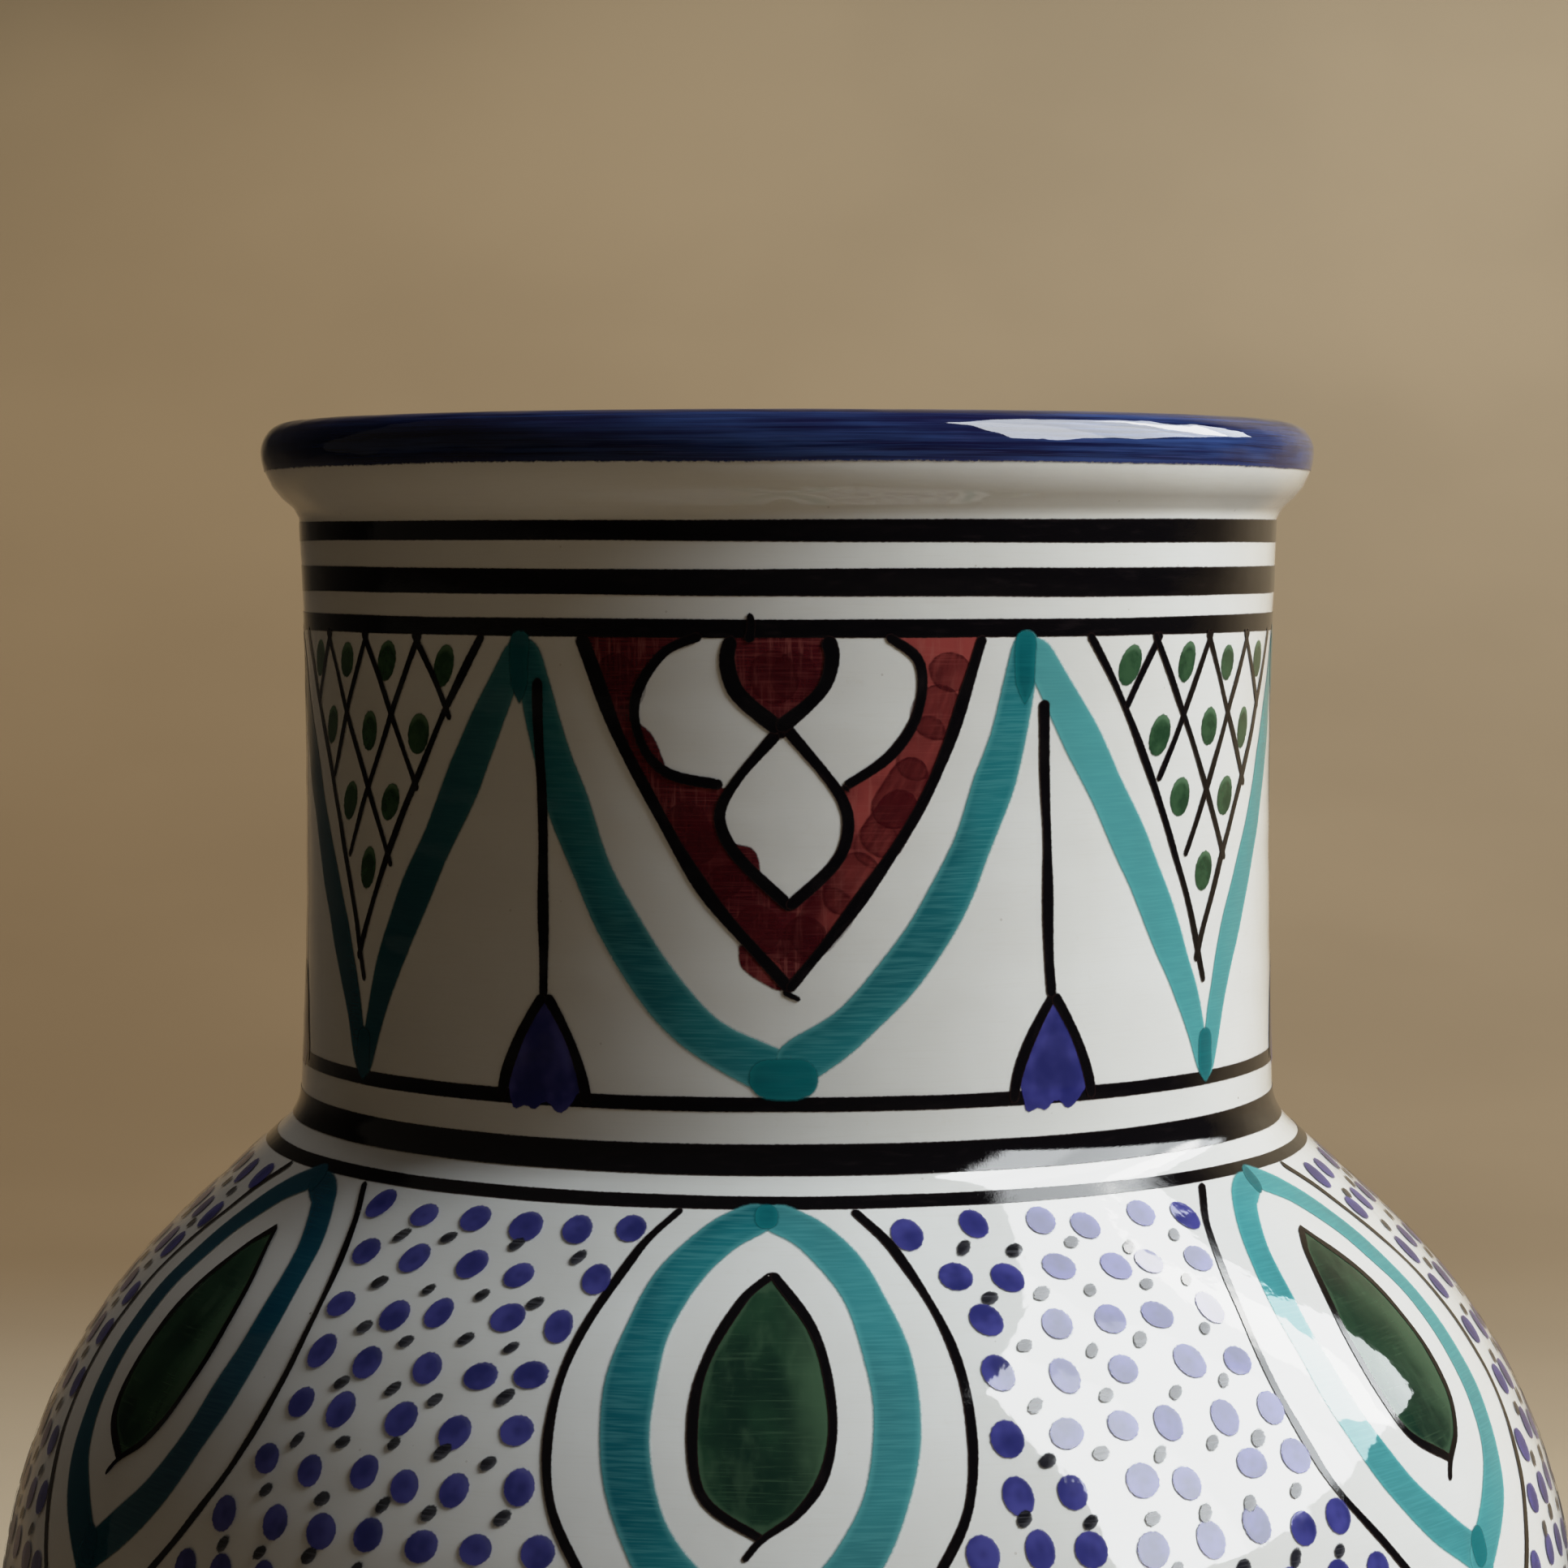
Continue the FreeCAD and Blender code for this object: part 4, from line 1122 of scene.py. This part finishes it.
def fired_clay(name, light, dark):
    """Bare earthenware: sandy, with turning marks round the pot."""
    shader = Shader(name)
    here = shader.place()
    grain = shader.noise(here, 1.3, 5.0, 0.7)
    colour = shader.layers(dark, (light, grain, 0.35, 0.70))
    grog = shader.math("LESS_THAN", shader.cells(here, 0.8)["Distance"], 0.17)
    colour = shader.mix(shader.times(grog, 0.5), colour, (0.70, 0.52, 0.38, 1))
    x, y, z = shader.split(here)
    turning = shader.noise(shader.join(shader.math("ADD", shader.reach(x, y), z), 0.0, 0.0), 1.6, 2.0)
    rough = shader.bump(grain, 0.0002)
    rough = shader.bump(turning, 0.00025, 0.7, rough)
    shader.set(Base_Color=colour, Roughness=0.88, Normal=rough)
    return shader.material


# ---------------------------------------------------------------- the pieces


SKIN_THICKNESS = 0.42
SKIN_EVERY = 5
SKIN_SEGMENTS = 360


def glaze_skin():
    """The whole white coat as one solid: outside, over the lip, inside and across the floor."""
    floor = SKIN_PATH[-1]
    front = np.concatenate([SKIN_PATH[:-1:SKIN_EVERY], [floor]])
    way = np.concatenate([SKIN_WAY[:-1:SKIN_EVERY], SKIN_WAY[-1:]])
    back = front + SKIN_THICKNESS * np.stack([-way[:, 1], way[:, 0]], axis=1)
    back[-1] = (0.0, floor[1] - SKIN_THICKNESS)
    back[0][1] = front[0][1]
    return turned_skin("white_glaze", np.concatenate([front[::-1], back]), SKIN_SEGMENTS)


def build_pieces():
    finish_piece(glaze_skin(), white_glaze(), "white_glaze", "outer_glaze", "inner_glaze")
    paint_bands()
    paint_neck()
    paint_shoulder()
    paint_lower_belly()
    black = black_paint()
    cobalt = cobalt_paint()
    painted = (
        ("wheel_bands", black, "black_paint", *STRIPES),
        ("black_lines", black, "black_paint"),
        ("small_dots", small_dot_paint(), "black_paint"),
        ("turquoise_strokes", turquoise_paint(), "turquoise_paint"),
        ("turquoise_overlaps", turquoise_paint("turquoise_doubled", doubled=True), "turquoise_paint"),
        ("red_fills", oxblood_paint(), "oxblood_paint"),
        ("red_dabs", oxblood_wash(), "oxblood_paint"),
        ("green_fills", green_almond_paint(), "green_paint"),
        ("green_dots", green_dot_paint(), "green_paint"),
        ("blue_fills", cobalt, "cobalt_paint"),
        ("cobalt_dots", cobalt, "cobalt_paint"),
        ("cobalt_rim", cobalt_wheel("cobalt_rim_glaze"), "cobalt_glaze", "rim_glaze"),
        ("cobalt_foot", cobalt_wheel("cobalt_foot_glaze"), "cobalt_glaze", "foot_band"),
    )
    for name, paint, slot, *nodes in painted:
        films[name].build(name, paint, slot, *nodes)


def clothe_frame():
    """Bare clay and slip for the CAD nodes that stay."""
    clay = fired_clay("bare_clay", (0.56, 0.36, 0.23, 1), (0.40, 0.23, 0.14, 1))
    slip = fired_clay("luting_slip", (0.50, 0.31, 0.20, 1), (0.35, 0.20, 0.125, 1))
    for name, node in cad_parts.items():
        if node.hide_render:
            continue
        node.data.materials.clear()
        node.data.materials.append(slip if name.endswith("slip_seam") else clay)


# ---------------------------------------------------------------- stage, light and camera

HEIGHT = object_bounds()[1][2]
EYE_HEIGHT = 0.9456 * HEIGHT
CAMERA_DISTANCE = 2.0 * HEIGHT
CAMERA_ASIDE = -0.0004
LOOK_DOWN = 3.193
LENS = 99.4
BRIGHTEST = 1.5
ROOM_COLOUR = (0.46, 0.395, 0.295, 1)
SKY, BLUE_SKY = (0.95, 0.985, 1.0), (0.905, 0.97, 1.0)
WARM, WARMER = (1.0, 0.97, 0.92), (1.0, 0.95, 0.88)


def studio_paper():
    """Warm pale paper. Painted shade makes the backdrop a little deeper to the left and towards the floor.

    Painted shade stands in for black flags: the glaze finds the paper on the floor dark, and at the left all
    rays but the camera's find it dark. Far from the vase the camera sees the paper glow with the colour of
    the room, painted light, so that no horizon shows."""
    shader = Shader("studio_paper")
    x, y, z = shader.split(shader.place())
    ray = shader.node("LightPath", {}).outputs
    grain = shader.ramp(shader.noise(shader.place(), 0.004, 3.0), 0.3, 0.7)
    pale = shader.mix(grain, (0.400, 0.328, 0.228, 1), (0.440, 0.364, 0.256, 1))
    # Painted shade: the paper darker towards the left and towards the floor.
    pale = shader.mix(shader.ramp(x, -450.0, 450.0, 1.0, 0.0), pale, (0.74, 0.66, 0.545, 1), "MULTIPLY")
    pale = shader.mix(shader.ramp(z, 0.0, 520.0, 1.0, 0.0), pale, (0.74, 0.69, 0.64, 1), "MULTIPLY")
    on_floor = shader.ramp(y, 350.0, 900.0, 1.0, 0.0)
    seen_floor = shader.times(on_floor, ray["Is Camera Ray"])
    pale = shader.mix(seen_floor, pale, shader.mix(grain, (0.50, 0.43, 0.325, 1), (0.54, 0.465, 0.355, 1)))
    # Painted shade: dark paper on the floor for glossy rays, and at the left for all but camera rays.
    at_left = shader.ramp(x, -1000.0, -150.0, 1.0, 0.0)
    painted_shade_mask = shader.math(
        "MAXIMUM",
        shader.times(on_floor, ray["Is Glossy Ray"]),
        shader.times(at_left, shader.math("SUBTRACT", 1.0, ray["Is Camera Ray"])),
    )
    paper = shader.mix(painted_shade_mask, pale, (0.05, 0.04, 0.03, 1))
    # Painted light: far away and to the sides the paper glows with the room's colour.
    away = shader.times(seen_floor, shader.ramp(shader.reach(x, y), 420.0, 1700.0))
    aside = shader.ramp(shader.math("ABSOLUTE", x), 520.0, 1100.0)
    far = shader.math("MAXIMUM", away, shader.times(aside, ray["Is Camera Ray"]))
    shader.set(Base_Color=shader.mix(far, paper, (0.0, 0.0, 0.0, 1)), Roughness=0.9, Specular_IOR_Level=0.1)
    shader.set(Emission_Color=ROOM_COLOUR, Emission_Strength=far)
    return shader.material


def floor_and_backdrop():
    """A floor that sweeps up behind the vase into a plain backdrop."""
    front, back, bend, tall, side = -6.0, 2.1, 1.2, 3.5, 4.0
    outline = [(front, 0.0), (-2.0, 0.0), (back - bend, 0.0)]
    outline += [
        (back - bend + bend * math.sin(math.radians(a)), bend - bend * math.cos(math.radians(a)))
        for a in range(5, 90, 5)
    ]
    outline += [(back, bend), (back, tall)]
    points = [(x, y, z) for y, z in outline for x in (-side, side)]
    faces = [(2 * i, 2 * i + 1, 2 * i + 3, 2 * i + 2) for i in range(len(outline) - 1)]
    sweep = mesh_object("studio_sweep", points, faces, 60.0)
    sweep.data.materials.append(studio_paper())


def soft_light(name, place, facing, wide, tall, power, colour, diffuse=True, glossy=True):
    """A rectangular soft light at a place, shining in a direction. The camera doesn't see it."""
    lamp = bpy.data.lights.new(name, "AREA")
    lamp.shape = "RECTANGLE"
    lamp.size, lamp.size_y = wide, tall
    lamp.energy = power
    lamp.color = colour
    box = bpy.data.objects.new(name, lamp)
    box.location = place
    box.rotation_euler = (-Vector(facing)).to_track_quat("Z", "Y").to_euler()
    box.visible_camera = False
    box.visible_diffuse = diffuse
    box.visible_glossy = glossy
    bpy.context.scene.collection.objects.link(box)


def light_studio():
    """A tall window at the right, as the glaze mirrors it and as it lights the vase, and softer fills."""
    for pane, (along, power) in enumerate(((-0.847, 58.0), (-0.16, 47.0), (0.527, 37.0))):
        place = (1.4, along, 1.96)
        soft_light(f"window_pane_{pane}", place, (-1, 0, 0), 0.687, 2.55, power, SKY, diffuse=False)
    soft_light("key", (1.4, -0.52, 1.21), (-0.772, 0.287, -0.574), 0.6, 0.8, 29.5, BLUE_SKY, glossy=False)
    soft_light("backdrop_wash", (1.7, 0.7, 1.5), (-0.62, 0.76, -0.22), 0.8, 1.2, 25.0, WARM)
    soft_light("far_floor", (3.0, -0.8, 2.6), (0, 0, -1), 2.4, 3.6, 40.0, WARM, glossy=False)
    soft_light("back_fill", (-0.5, 1.5, 1.2), (0.28, -0.82, -0.5), 0.9, 0.9, 10.0, WARMER, glossy=False)
    world = bpy.data.worlds.new("studio_air")
    bpy.context.scene.world = world
    world.use_nodes = True
    tree = world.node_tree
    dim = tree.nodes["Background"]
    dim.inputs["Color"].default_value = (1.0, 0.84, 0.64, 1)
    dim.inputs["Strength"].default_value = 0.03
    seen = tree.nodes.new("ShaderNodeBackground")
    seen.inputs["Color"].default_value = ROOM_COLOUR
    eye = tree.nodes.new("ShaderNodeLightPath")
    either = tree.nodes.new("ShaderNodeMixShader")
    tree.links.new(eye.outputs["Is Camera Ray"], either.inputs[0])
    tree.links.new(dim.outputs[0], either.inputs[1])
    tree.links.new(seen.outputs[0], either.inputs[2])
    tree.links.new(either.outputs[0], tree.nodes["World Output"].inputs["Surface"])
    bpy.context.scene.view_settings.view_transform = "Standard"


def soften_highlights():
    """A film's shoulder: tones up to the middle stay, the brightest tones are pressed together."""
    view = bpy.context.scene.view_settings
    view.use_curve_mapping = True
    view.curve_mapping.white_level = (BRIGHTEST, BRIGHTEST, BRIGHTEST)
    shoulder = view.curve_mapping.curves[3]
    shoulder.points[1].location = (1.0, 0.87)
    for bright, pressed in ((0.30, 0.30), (0.55, 0.55), (0.78, 0.715), (1.0, 0.80)):
        shoulder.points.new(bright / BRIGHTEST, pressed)
    view.curve_mapping.update()


def place_camera():
    lens = bpy.data.cameras.new("camera")
    lens.lens = LENS
    lens.sensor_width = 36.0
    camera = bpy.data.objects.new("camera", lens)
    camera.location = (CAMERA_ASIDE, -CAMERA_DISTANCE, EYE_HEIGHT)
    camera.rotation_euler = (math.radians(90 - LOOK_DOWN), 0, 0)
    bpy.context.scene.collection.objects.link(camera)
    bpy.context.scene.camera = camera


build_pieces()
clothe_frame()
floor_and_backdrop()
light_studio()
soften_highlights()
place_camera()
